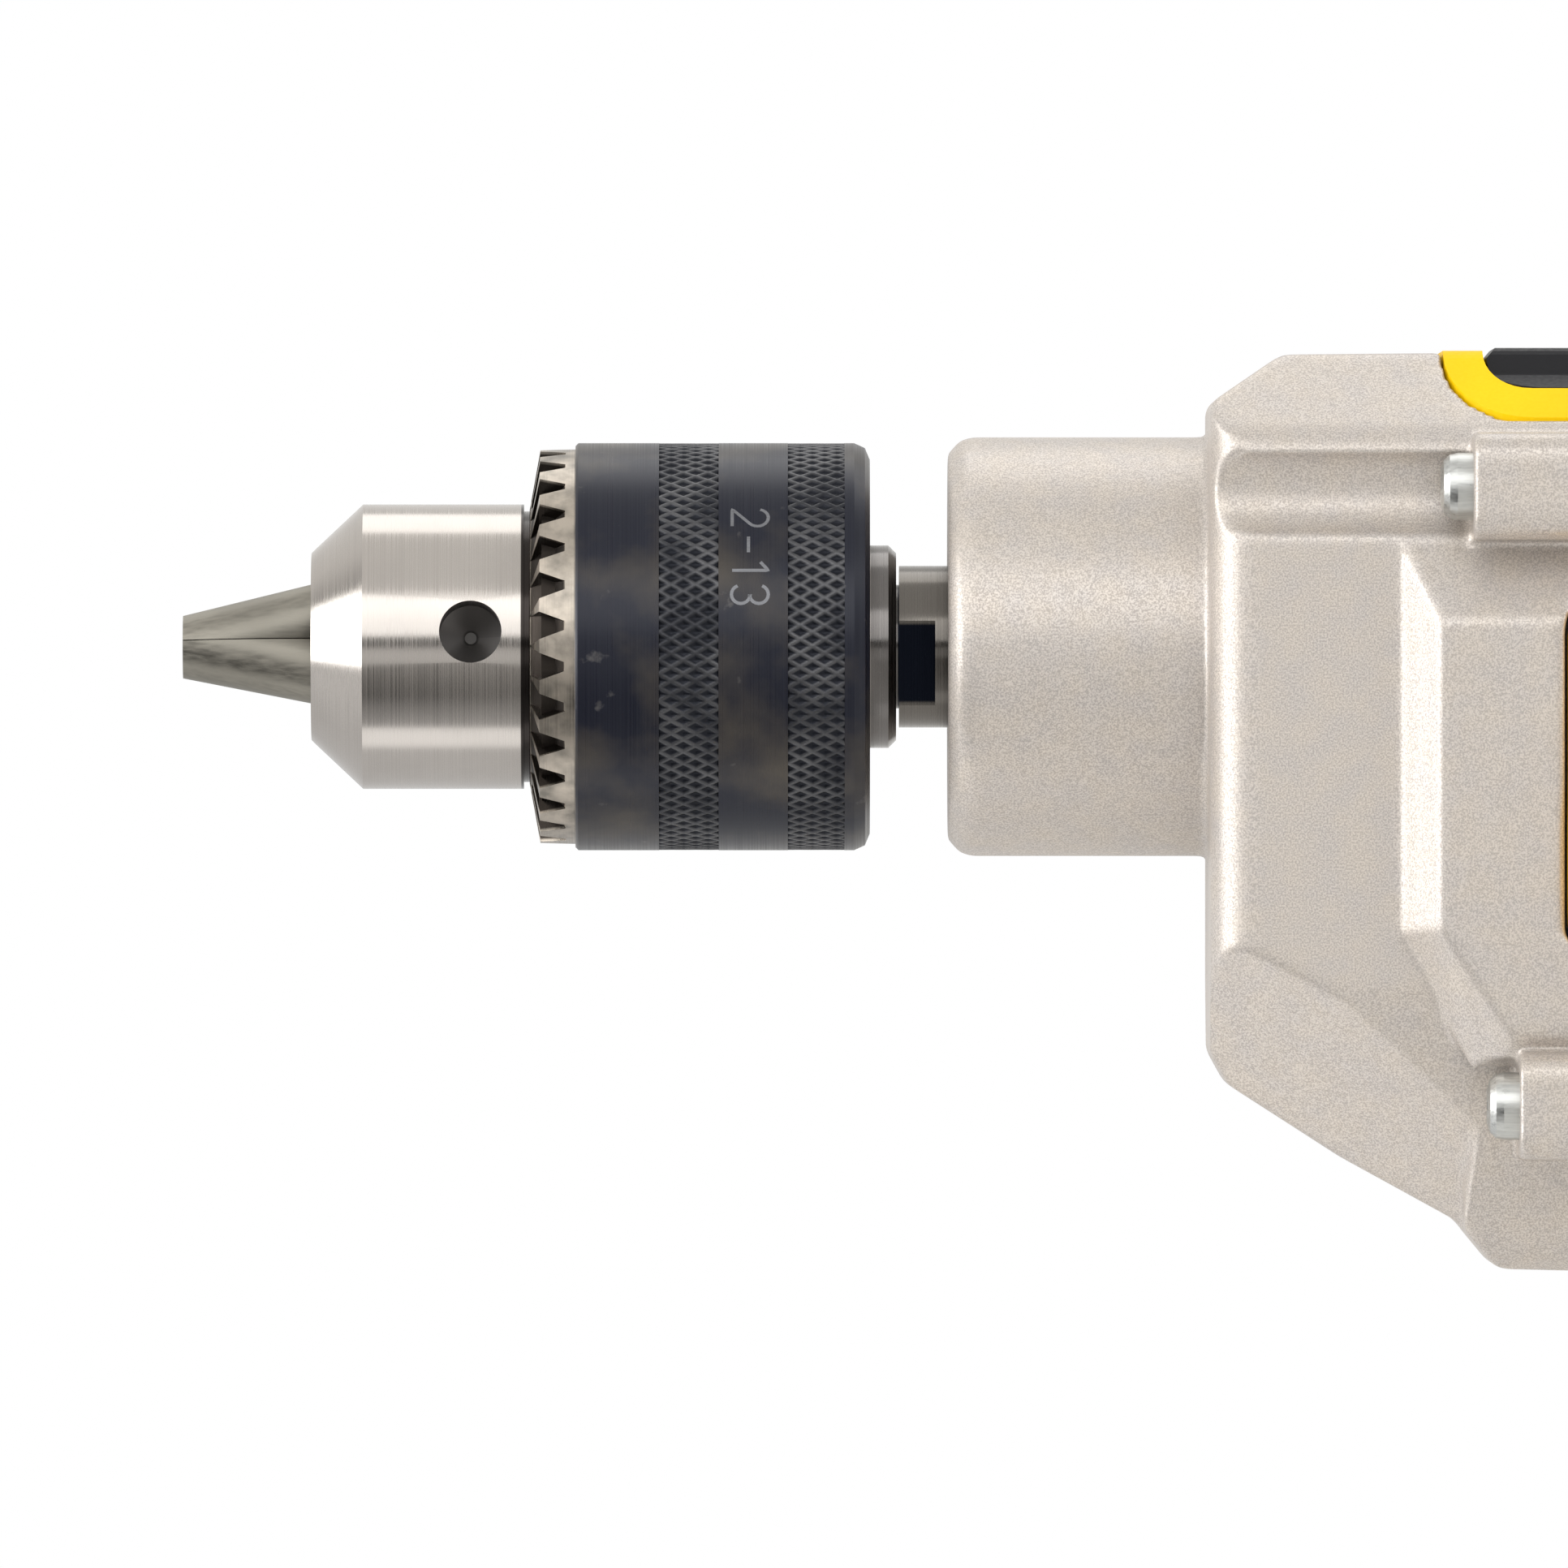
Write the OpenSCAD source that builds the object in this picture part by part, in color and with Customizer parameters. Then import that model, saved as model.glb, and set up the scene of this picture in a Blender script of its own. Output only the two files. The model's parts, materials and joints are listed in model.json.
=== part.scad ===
// Corded hammer drill with a keyed 13 mm chuck, a die-cast gear housing and a clamshell body.
// X runs from the chuck (minus) to the grip (plus), Z is up, and Y = 0 is the middle plane.
// The origin is on the spindle axis, where the clamping collar meets the gear housing.

/* [Collar and spindle] */
// Radius of the collar that the side handle clamps on
collar_r = 21.5; // [21:0.5:23]
// Length of the collar
collar_len = 26.7; // [25:0.5:30]
// Spindle that shows between the collar and the chuck
spindle_show = 5.3; // [4:0.5:8]
// Radius of the spindle where it shows
spindle_r = 8.3; // [8:0.1:8.4]
// Width across the wrench flats
flats_w = 14; // [13:0.5:15]
// Rearward travel of the spindle in hammer mode
hammer_travel = 1.5; // [1:0.1:1.8]

/* [Chuck] */
// Radius of the bare nose
nose_r = 14.6; // [14.2:0.1:15]
// Length of the nose in front of the gear ring
nose_len = 21.8; // [20:0.5:24]
// Length of the bevel on the nose
nose_bevel = 5.3; // [4:0.1:6]
// Radius of the black sleeve
sleeve_r = 20.9; // [20.7:0.1:22]
// Length of the black sleeve
sleeve_len = 30.2; // [28:0.2:34]
// Length of the toothed ring in front of the sleeve
ring_len = 4.7; // [4.4:0.1:5.4]
// Teeth on the ring
ring_teeth = 30; // [24:1:34]
// Wall of the sleeve
sleeve_wall = 2.3; // [1.9:0.1:2.6]
// Radius of the small hub behind the sleeve
hub_r = 10.4; // [10:0.1:12]
// Length of the small hub behind the sleeve
hub_len = 2.7; // [2:0.1:4]
// Radius of a jaw rod
jaw_r = 3.8; // [3.6:0.1:3.9]
// Slope of a jaw rod against the spindle axis
jaw_angle = 14.5; // [14:0.5:15.5]
// How far the closed jaws stand out of the nose
jaw_out = 13.2; // [11:0.2:14]
// Travel of a jaw along its own bore
jaw_travel = 25; // [20:1:25]
// Radius of the hole that takes the bit's shank
shank_hole_r = 6.6; // [6.3:0.1:6.8]
// Depth of the two bands in the sleeve that carry the knurl
band_depth = 0.3; // [0.2:0.05:0.4]
// Radius of a key pilot hole
key_r = 3.2; // [3:0.1:3.6]
// Depth of a key pilot hole
key_depth = 5.2; // [4:0.2:6]

/* [Gear housing] */
// Length of the gear housing behind the collar
housing_len = 50; // [48:1:54]
// Height of the top face above the spindle axis
housing_top = 30.2; // [29.5:0.1:32]
// Depth of the bottom face below the spindle axis
housing_bottom = 64.2; // [63:0.2:66]
// Half width of the front section
housing_half_w = 30; // [29:0.5:31]
// Height of the raised side pad above the front section
pad_height = 4.6; // [3:0.2:5]
// Depth at which the lower bevel of the sides starts at the front face
crease_drop = 29; // [28:0.5:32]
// Wall of the gear housing
housing_wall = 3.4; // [3:0.2:4]
// Distance of the housing screws from the middle plane
screw_y = 32; // [31.5:0.5:33]
// Height of the upper housing screws
screw_z_top = 16.2; // [15:0.2:17]
// Depth of the lower housing screws
screw_z_low = 46.9; // [46:0.2:48]

/* [Drive] */
// Drop from the spindle axis to the motor axis
motor_drop = 22; // [22:0.01:22.06]
// Teeth on the motor pinion
pinion_teeth = 8; // [8:1:8]
// Module of the gears
gear_module = 1; // [0.99:0.005:1]
// Width of the spindle gear
gear_width = 11; // [9:1:12]
// Teeth on each ratchet
ratchet_teeth = 13; // [9:1:16]

/* [Motor] */
// Gap between the stator and the wall of the motor barrel
stator_gap = 1.9; // [1.6:0.1:3]
// Length of the iron stack
stack_len = 50; // [40:1:52]
// Radius of the armature
armature_r = 20.5; // [19:0.1:21]
// Air gap round the armature
air_gap = 0.5; // [0.4:0.1:0.8]
// Radius of the commutator
commutator_r = 12; // [11:0.5:13]
// Length of the commutator
commutator_len = 14; // [12:0.5:15]
// Radius of the fan
fan_r = 33; // [30:0.5:34]
// Blades on the fan
fan_blades = 14; // [9:1:17]

/* [Body] */
// Radius of the motor barrel
barrel_r = 41.6; // [41.4:0.1:41.8]
// Length from the gear housing to the back of the grip
body_len = 154; // [152:1:160]
// Wall of the body shells
shell_wall = 2.8; // [2.4:0.1:3]
// Half width of the grip
grip_half_w = 18.5; // [18:0.1:20]
// Thickness of the soft grip skin
grip_skin = 1.8; // [1.4:0.1:2]
// Depth of the foot of the grip below the spindle axis
grip_bottom = 182; // [178:1:190]

/* [Controls] */
// Travel of the trigger
trigger_travel = 6; // [4:0.5:6.5]
// Half width of the trigger
trigger_half_w = 8; // [7:0.5:9]
// Travel of the lock-on button
lock_travel = 3; // [2:0.5:3.5]
// Swing of the direction lever to each side
lever_swing = 12; // [8:1:13]
// Travel of the drill and hammer selector
mode_travel = 5; // [3:0.5:6]
// Radius of the cord hole in the gland
cord_hole_r = 4.1; // [3:0.1:4.5]

/* [Hidden] */
$fn = 96;
// Running clearance between a shaft and its hole
run = 0.05;
// Clearance between bodies that slide past each other
gap = 0.3;
// Overlap that lets one cutter reach past a face
eps = 0.5;
spindle_tip_x = -collar_len - spindle_show;
hub_front_x = spindle_tip_x - hub_len;
// Half inch thread that carries the chuck, drawn smooth
thread_r = 6.35;
thread_front_x = spindle_tip_x - 18;
sleeve_front_x = hub_front_x - sleeve_len;
ring_front_x = sleeve_front_x - ring_len;
nose_front_x = ring_front_x - nose_len - 0.6;
jaw_tip_x = nose_front_x - jaw_out;
sleeve_bore_r = sleeve_r - sleeve_wall;
// Distance of a jaw's axis past the chuck axis at the closed tip
jaw_offset = 0.8;
// Turn of the jaws round the chuck axis, from straight up
jaw_turns = [19, 139, 259];
nut_len = 7;
nut_front_x = ring_front_x + 1.3;
bearing_r = 17.5;
bearing_bore_r = 8.5;
bearing_len = 10;
bearing_x = -21;
seal_len = 2.6;
seal_r = 14;
ratchet_r = 12.5;
tooth_deep = 1;
fixed_ratchet_x = 2;
rotating_ratchet_x = fixed_ratchet_x - tooth_deep - hammer_travel - 0.2 - tooth_deep;
gear_x = 12;
gear_teeth = round(2 * motor_drop / gear_module) - pinion_teeth;
gear_shift = 0.5;
bracket_x = 36;
bracket_len = 8;
bush_r = 9;
rear_journal_r = 6;
spindle_end_x = bracket_x + bracket_len - hammer_travel - 0.5;
bearing_608_r = 11;
motor_z = -motor_drop;
stator_r = barrel_r - shell_wall - stator_gap;
shaft_r = 4;
shaft_front_x = 8;
fan_x = 54;
stack_x = 76;
coil_over = 7;
commutator_x = stack_x + stack_len + 10;
rear_bearing_x = commutator_x + commutator_len + 6;
rear_bearing_len = 7;
shaft_end_x = rear_bearing_x + rear_bearing_len + 1;
body_x = housing_len;
body_end_x = body_x + body_len;
grip_core_half_w = grip_half_w - grip_skin;
trigger_x = body_end_x - 50;
trigger_z = -86;
trigger_half_h = 15;
lever_z = trigger_z + 28.5;
lever_x = body_end_x - 30;
lever_reach = 27;
gland_x = body_end_x - 4;

// Corner arc of a rounded outline, n + 1 points
function arc_points(a, b, c, r, n) =
  let (u = (a - b) / norm(a - b), v = (c - b) / norm(c - b),
       half = acos(max(-1, min(1, u * v))) / 2,
       cut = min(r / tan(half), 0.49 * norm(a - b), 0.49 * norm(c - b)),
       rr = cut * tan(half),
       centre = b + (u + v) / norm(u + v) * rr / sin(half),
       from = b + u * cut - centre, to = b + v * cut - centre,
       turn = from[0] * to[1] - from[1] * to[0] > 0 ? 180 - 2 * half : 2 * half - 180)
  [for (i = [0:n]) centre + [
      from[0] * cos(turn * i / n) - from[1] * sin(turn * i / n),
      from[0] * sin(turn * i / n) + from[1] * cos(turn * i / n)]];

// Outline with rounded corners; each corner is [x, y, radius]
function rounded(p, n = 4) = [for (i = [0:len(p) - 1])
  let (a = p[(i + len(p) - 1) % len(p)], b = p[i], c = p[(i + 1) % len(p)])
  for (q = b[2] > 0
      ? arc_points([a[0], a[1]], [b[0], b[1]], [c[0], c[1]], b[2], n)
      : [[b[0], b[1]]]) q];

// Solid of revolution round a line along X; points are [x, radius]
module turned(points, z = 0) {
  translate([0, 0, z]) rotate([0, 90, 0])
    rotate_extrude() polygon([for (p = points) [p[1], p[0]]]);
}

// Plain disc or tube along X
module tube_x(x, length, r, bore = 0, z = 0, y = 0) {
  translate([x, y, z]) rotate([0, 90, 0]) difference() {
    cylinder(h = length, r = r);
    if (bore > 0) translate([0, 0, -eps]) cylinder(h = length + 2 * eps, r = bore);
  }
}

// Side outline (X, Z) pushed to both sides of the middle plane
module side_plate(points, half_w) {
  translate([0, half_w, 0]) rotate([90, 0, 0])
    linear_extrude(2 * half_w) polygon(points);
}

// Front outline (Y, Z) pushed along X
module front_plate(points, x, length) {
  translate([x, 0, 0]) rotate([90, 0, 90]) linear_extrude(length) polygon(points);
}

// One jaw rod along its own axis, with the tip at the origin
module jaw_axis(turn) {
  rotate([turn, 0, 0]) translate([jaw_tip_x, 0, -jaw_offset])
    rotate([0, 90 - jaw_angle, 0]) children();
}

module jaw_bore(turn) {
  jaw_axis(turn) translate([0, 0, 6]) cylinder(h = 75, r = jaw_r + run);
}

// Jaw with a three-sided tip; its rear end is turned down to clear the sleeve when it is open
module jaw(turn) {
  jaw_len = (nut_front_x + nut_len - 3.5 - jaw_tip_x) / cos(jaw_angle);
  rear_r = sleeve_bore_r - gap - jaw_travel * sin(jaw_angle);
  color("#8c8f91") intersection() {
    jaw_axis(turn) translate([0, 0, -4]) cylinder(h = jaw_len + 4, r = jaw_r);
    rotate([turn, 0, 0]) {
      translate([0, 0, 0.06]) rotate([90, 0, 90]) translate([0, 0, jaw_tip_x])
        linear_extrude(jaw_len) polygon([[0, 0], [20, 20 / tan(60)], [20, 22], [-20, 22],
          [-20, 20 / tan(60)]]);
    }
    tube_x(jaw_tip_x, jaw_len, rear_r);
  }
}

module chuck_body() {
  flange_x = nut_front_x + nut_len + 0.2;
  color("#c9cbcc") difference() {
    turned([[nose_front_x, 0], [nose_front_x, 9.6], [nose_front_x + 0.4, 10],
      [nose_front_x + nose_bevel, nose_r], [ring_front_x - 0.6, nose_r],
      [ring_front_x - 0.6, nose_r - 0.7], [nut_front_x - 0.2, nose_r - 0.7],
      [nut_front_x - 0.2, 12.5], [flange_x, 12.5], [flange_x, sleeve_bore_r - run],
      [hub_front_x - 0.6, sleeve_bore_r - run], [hub_front_x - 0.6, hub_r],
      [spindle_tip_x - 0.8, hub_r], [spindle_tip_x, hub_r - 0.8], [spindle_tip_x, 0]]);
    tube_x(nose_front_x - eps, thread_front_x - 7 - nose_front_x + eps, shank_hole_r);
    tube_x(thread_front_x - 8, 10, 3.1);
    tube_x(thread_front_x, 50, thread_r);
    for (turn = jaw_turns) jaw_bore(turn);
    for (third = [0:2]) key_hole(key_turn + third * 120);
  }
}

// Pilot hole for the chuck key; its turn counts from the side that faces the viewer
key_turn = 6;
module key_hole(turn) {
  rotate([-turn, 0, 0]) translate([key_x, -nose_r - eps, 0]) rotate([-90, 0, 0]) {
    cylinder(h = key_depth + eps, r = key_r);
    translate([0, 0, key_depth + eps]) cylinder(h = 1.6, r1 = key_r, r2 = 0.6);
  }
}

module chuck_screw() {
  color("#6f7173") {
    tube_x(thread_front_x - 11, 4, 5);
    tube_x(thread_front_x - 7, 19, 3);
  }
}

// Shallow band in the sleeve's outline, at a distance from the sleeve's front
function sleeve_band(start, length) = [for (p = [[0, 0], [0, band_depth], [length, band_depth],
  [length, 0]]) [sleeve_front_x + start + p[0], sleeve_r - p[1]]];

// Black sleeve with the bevel teeth that the chuck key drives
module chuck_sleeve() {
  color("#26282b") difference() {
    turned([[ring_front_x, nose_r - 0.7 + run], [ring_front_x, nose_r - 0.5],
      [ring_front_x + 1.1, 20.2], [sleeve_front_x, 20.25], [sleeve_front_x, sleeve_r - 0.3],
      [sleeve_front_x + 0.3, sleeve_r], each sleeve_band(8.6, 6.1), each sleeve_band(21.8, 5.8),
      [hub_front_x - 1.6, sleeve_r],
      [hub_front_x - 0.5, sleeve_r - 0.5], [hub_front_x, sleeve_r - 1.7],
      [hub_front_x, sleeve_bore_r + 0.6], [hub_front_x - 0.6, sleeve_bore_r],
      [nut_front_x, sleeve_bore_r], [nut_front_x, nose_r - 0.7 + run]]);
    for (i = [0:ring_teeth - 1]) rotate([i * 360 / ring_teeth, 0, 0]) ring_slot();
  }
}

// Slot between two teeth: wide at the front, narrow at the root, with a sloping floor
module ring_slot() {
  root_x = sleeve_front_x - 1;
  rise = 20.05 - nose_r;
  run_x = root_x - ring_front_x;
  mouth = 2 * PI * nose_r / ring_teeth - 0.15;
  intersection() {
    translate([0, 0, nose_r - 3]) linear_extrude(10) polygon([[root_x, -0.45], [root_x, 0.45],
      [ring_front_x + 1, mouth / 2], [ring_front_x - 1, mouth / 2], [ring_front_x - 1, -mouth / 2],
      [ring_front_x + 1, -mouth / 2]]);
    translate([root_x, 0, 20.05]) rotate([0, -atan(rise / run_x), 0])
      translate([-12, -4, 0]) cube([20, 8, 12]);
  }
}

module split_nut() {
  slope = tan(jaw_angle);
  front_r = -jaw_offset + (nut_front_x - jaw_tip_x) * slope + jaw_r / cos(jaw_angle) + 0.3;
  color("#9a9c9e") difference() {
    turned([[nut_front_x, front_r], [nut_front_x, sleeve_bore_r],
      [nut_front_x + nut_len, sleeve_bore_r], [nut_front_x + nut_len, front_r + nut_len * slope]]);
    for (side = [-1, 1]) translate([nut_front_x - eps, side * 15 - 4, -0.15])
      cube([nut_len + 2 * eps, 8, 0.3]);
  }
}

module spindle() {
  color("#b9bbbd") difference() {
    turned([[thread_front_x, 0], [thread_front_x, thread_r - 0.55],
      [thread_front_x + 0.6, thread_r], [spindle_tip_x + 0.3, thread_r],
      [spindle_tip_x + 0.3, spindle_r], [bearing_x - 0.8, spindle_r],
      [bearing_x - 0.8, spindle_r + 1.2], [bearing_x, spindle_r + 1.2],
      [bearing_x, bearing_bore_r], [gear_x + gear_width, bearing_bore_r],
      [gear_x + gear_width, rear_journal_r], [spindle_end_x - 0.5, rear_journal_r],
      [spindle_end_x, rear_journal_r - 0.5], [spindle_end_x, 0]]);
    tube_x(thread_front_x - 1, 13, 3);
    for (side = [0, 180]) rotate([side + 14, 0, 0])
      translate([spindle_tip_x + 0.3, -flats_w / 2 - 5, -6]) cube([3.7, 5, 12]);
  }
}
key_x = ring_front_x - 6;

module dust_seal() {
  color("#2a2a2a") tube_x(-collar_len + 0.6, seal_len, seal_r, spindle_r + gap);
}

// Outer ring and shields of the spindle bearing: it slides in the collar and doesn't turn
module front_bearing() {
  color("#b4b7ba") difference() {
    turned([[bearing_x, 11], [bearing_x, bearing_r - 0.4], [bearing_x + 0.4, bearing_r],
      [bearing_x + bearing_len - 0.4, bearing_r], [bearing_x + bearing_len, bearing_r - 0.4],
      [bearing_x + bearing_len, 11]]);
    tube_x(bearing_x + 1, bearing_len - 2, 12.2);
  }
}

module front_bearing_ring() {
  color("#a9acae") tube_x(bearing_x, bearing_len, 11 - run, bearing_bore_r);
}

// Closed-end spring that pushes the spindle forward
module hammer_spring() {
  wire = 0.9;
  mid_r = 15.2;
  turns = 3.5;
  steps = 64;
  start_x = bearing_x + bearing_len + wire + 0.05;
  end_x = fixed_ratchet_x - wire - 0.05;
  sides = 6;
  ring = [for (i = [0:steps]) let (a = 360 * turns * i / steps, t = i / steps,
      x = start_x + (end_x - start_x) * (t < 0.15 ? 0 : t > 0.85 ? 1 : (t - 0.15) / 0.7))
    for (k = [0:sides - 1]) let (b = 360 * k / sides, r = mid_r + wire * cos(b))
      [x + wire * sin(b), r * cos(a), r * sin(a)]];
  color("#8f9296") polyhedron(ring, concat(
    [[for (k = [0:sides - 1]) k]],
    [[for (k = [sides - 1:-1:0]) steps * sides + k]],
    [for (i = [0:steps - 1]) for (k = [0:sides - 1]) for (f = [0, 1])
      let (k2 = (k + 1) % sides, a = i * sides + k, b = i * sides + k2)
      f == 0 ? [a, a + sides, b] : [b, a + sides, b + sides]]));
}

// Face teeth cut as wedge gaps between a ring's teeth; they point along +X
module ratchet_gaps(x, inner_r, outer_r) {
  for (i = [0:ratchet_teeth - 1]) rotate([i * 360 / ratchet_teeth, 0, 0])
    translate([x, 0, 0]) rotate([90, 0, 90]) linear_extrude(tooth_deep + eps)
      polygon([[0, 0], [outer_r + 2, 0],
        [(outer_r + 2) * cos(180 / ratchet_teeth), (outer_r + 2) * sin(180 / ratchet_teeth)]]);
}

module rotating_ratchet() {
  rear_x = rotating_ratchet_x + tooth_deep;
  color("#7d8083") difference() {
    tube_x(rear_x - 7, 7, ratchet_r, bearing_bore_r);
    ratchet_gaps(rotating_ratchet_x, bearing_bore_r, ratchet_r);
  }
}

module fixed_ratchet() {
  color("#85888b") difference() {
    turned([[fixed_ratchet_x - tooth_deep, 9.1], [fixed_ratchet_x - tooth_deep, ratchet_r],
      [fixed_ratchet_x, ratchet_r], [fixed_ratchet_x, bearing_r],
      [fixed_ratchet_x + 6, bearing_r], [fixed_ratchet_x + 6, 9.1]]);
    translate([2 * fixed_ratchet_x - tooth_deep, 0, 0]) mirror([1, 0, 0])
      ratchet_gaps(fixed_ratchet_x - tooth_deep, 9.1, ratchet_r);
  }
}

// Involute gear outline in its own plane, tooth 0 along +X
function involute(r, base) = let (a = acos(min(1, base / r))) tan(a) * 180 / PI - a;
function gear_points(teeth, shift, back) =
  let (rp = gear_module * teeth / 2, base = rp * cos(20), tip = rp + gear_module * (0.85 + shift),
       root = rp - gear_module * (1.25 - shift), start = max(base, root),
       half = 90 / teeth + (2 * shift * tan(20) - back / gear_module) / teeth * 180 / PI,
       flank = concat(root < base ? [[root, half + involute(rp, base)]] : [],
         [for (i = [0:3]) let (r = start + (tip - start) * i / 3)
           [r, half + involute(rp, base) - involute(r, base)]]),
       n = len(flank))
  [for (t = [0:teeth - 1]) for (k = [0:2 * n - 1])
    let (f = k < n ? flank[k] : flank[2 * n - 1 - k], side = k < n ? -1 : 1,
         a = 360 * t / teeth + side * f[1])
    f[0] * [cos(a), sin(a)]];

module spindle_gear() {
  color("#8b8e90") difference() {
    translate([gear_x, 0, 0]) rotate([90, 0, 90]) rotate([0, 0, -90])
      linear_extrude(gear_width) polygon(gear_points(gear_teeth, -gear_shift, 0.2));
    tube_x(gear_x - eps, gear_width + 2 * eps, bearing_bore_r);
    tube_x(gear_x - eps, 2 + eps, 14.5, 11.5);
    tube_x(gear_x + gear_width - 2, 2 + eps, 14.5, 11.5);
  }
}

module armature_shaft() {
  color("#a2a5a7") {
    translate([shaft_front_x, 0, motor_z]) rotate([90, 0, 90])
      rotate([0, 0, 90 + 180 / pinion_teeth])
      linear_extrude(bracket_x - shaft_front_x - 4)
      polygon(gear_points(pinion_teeth, gear_shift, 0.2));
    turned([[bracket_x - 4, 0], [bracket_x - 4, shaft_r + 1.5], [bracket_x - 0.3, shaft_r + 1.5],
      [bracket_x - 0.3, shaft_r], [shaft_end_x - 0.4, shaft_r],
      [shaft_end_x, shaft_r - 0.4], [shaft_end_x, 0]], motor_z);
  }
}

module bearing_608(x) {
  turned([[x, shaft_r], [x, 6], [x + 0.5, 6], [x + 0.5, 9], [x, 9], [x, bearing_608_r],
    [x + rear_bearing_len, bearing_608_r], [x + rear_bearing_len, 9],
    [x + rear_bearing_len - 0.5, 9], [x + rear_bearing_len - 0.5, 6],
    [x + rear_bearing_len, 6], [x + rear_bearing_len, shaft_r]], motor_z);
}

module armature_front_bearing() {
  color("#b4b7ba") bearing_608(bracket_x);
}

module armature_rear_bearing() {
  color("#b4b7ba") bearing_608(rear_bearing_x);
}

module spindle_bush() {
  color("#b08d57") tube_x(bracket_x, bracket_len, bush_r, rear_journal_r + run);
}

// Side outline of the gear housing, without the collar
module housing_side() {
  translate([0, 60, 0]) rotate([90, 0, 0]) linear_extrude(120)
    polygon(rounded([[0, 24.8, 1.5], [7.3, housing_top - 0.4, 3], [housing_len, housing_top, 0],
      [housing_len, -housing_bottom, 0], [29.3, 0.5 - housing_bottom, 2.5],
      [25.3, -58.8, 3], [13.3, -52.2, 8], [1.8, -44.8, 3], [0, -41.5, 1.5]], 3));
}

// Front outline of the gear housing
function housing_front(w) = rounded([[-w, 21, 5], [-18, housing_top, 4],
  [18, housing_top, 4], [w, 21, 5], [w, -36, 8], [w - 11, -housing_bottom, 9],
  [11 - w, -housing_bottom, 9], [-w, -36, 8]], 4);

// The raised side pad: it rises slowly from the top and bevels at its front and lower edges
module side_pad() {
  top = 11.5;
  hull() {
    translate([0, housing_half_w - 0.5, 0]) rotate([90, 0, 0]) linear_extrude(0.5)
      polygon([[18.9, top], [housing_len, top], [housing_len, -46], [29, -46], [26.3, -42.7],
        [18.9, -29.3]]);
    translate([0, housing_half_w + pad_height, 0]) rotate([90, 0, 0]) linear_extrude(0.5)
      polygon([[23.5, top - 9], [housing_len, top - 9], [housing_len, -39.8], [30.8, -39.8],
        [23.5, -29]]);
  }
}

// Lower corner that slopes in below the crease, in front of the flange that takes the screws
module lower_bevel() {
  slope = atan(0.51);
  intersection() {
    translate([0, housing_half_w, -crease_drop]) rotate([0, slope, 0]) rotate([90, 0, 90])
      translate([0, 0, -20]) linear_extrude(80)
      polygon([[0, 0], [-26, -27], [-26, -50], [20, -50], [20, 0]]);
    linear_extrude(200, center = true) polygon([[-5, 4], [26, 4], [26, 21],
      [29.5, housing_half_w + 0.5], [-5, housing_half_w + 0.5]]);
  }
}

// Round bulge that covers the front of the motor barrel, at the joint with the body
module motor_bulge() {
  turned([[housing_len - 14, 0], [housing_len - 14, barrel_r - 6], [housing_len - 3, barrel_r],
    [housing_len, barrel_r], [housing_len, 0]], motor_z);
}

// Front face of the boss under a screw's head; the lower bosses start further back
function seat_x(z) = z > 0 ? 26.7 : 31.4;

// Boss that a housing screw passes through
module screw_boss(z) {
  half = 5.45;
  x = seat_x(z);
  front_plate(rounded([[20, z - half, 0], [screw_y + half + 1, z - half, 2.5],
    [screw_y + half + 1, z + half, 2.5], [20, z + half, 0]]), x, housing_len - x);
}

module mirrored_y() {
  children();
  mirror([0, 1, 0]) children();
}

module housing_outer() {
  intersection() {
    union() {
      intersection() {
        housing_side();
        front_plate(housing_front(housing_half_w), 0, housing_len);
        linear_extrude(200, center = true) polygon(rounded([[0, -housing_half_w, 5],
          [housing_len, -housing_half_w, 0], [housing_len, housing_half_w, 0],
          [0, housing_half_w, 5]], 7));
      }
      mirrored_y() side_pad();
      mirrored_y() for (z = [screw_z_top, -screw_z_low]) screw_boss(z);
    }
    housing_side();
  }
  motor_bulge();
  turned([[-collar_len, 0], [-collar_len, collar_r - 1.75], [-collar_len + 1.2, collar_r - 0.4],
    [-collar_len + 2.4, collar_r], [3, collar_r], [3, 0]]);
}

module gear_housing() {
  color("#b8b1a6") difference() {
    housing_outer();
    // Seal, bearing, spring and ratchet bore
    tube_x(-collar_len - eps, 1 + eps, spindle_r + 1.2);
    tube_x(-collar_len + 0.6, seal_len, seal_r);
    tube_x(-collar_len, 8, spindle_r + 3);
    tube_x(bearing_x - gap, fixed_ratchet_x + 6 - bearing_x + gap, bearing_r + run);
    tube_x(fixed_ratchet_x + 5, 10, 15);
    // Gear chamber and bracket seat
    tube_x(fixed_ratchet_x + 7, bracket_x + bracket_len - fixed_ratchet_x - 7, 19.3);
    tube_x(shaft_front_x - 2, bracket_x, 13, 0, motor_z);
    bracket_seat(0);
    // Motor side: room for the fan's air
    tube_x(bracket_x + bracket_len - eps, 20, barrel_r - housing_wall - 3, 0, motor_z);
    // Slots for the selector
    translate([0, 0, 22]) linear_extrude(60) well_outline(0);
    roof_slot();
    mirrored_y() for (z = [screw_z_top, -screw_z_low]) housing_screw_hole(z);
    mirrored_y() side_notch();
    mirrored_y() lower_bevel();
  }
}

// Channel for the screwdriver, hole for the screw
module housing_screw_hole(z) {
  head_x = seat_x(z);
  start_x = z > 0 ? -1 : 27;
  channel_r = 4.75;
  mid_z = z > 0 ? z - 0.6 : z;
  front_plate(rounded([[screw_y - channel_r, mid_z - channel_r, 4.7], [60, mid_z - channel_r, 0],
    [60, mid_z + channel_r, 0], [screw_y - channel_r, mid_z + channel_r, 4.7]], 7),
    start_x, head_x - start_x);
  translate([head_x - eps, screw_y, z]) rotate([0, 90, 0]) cylinder(h = 40, r = 2.05);
}

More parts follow.
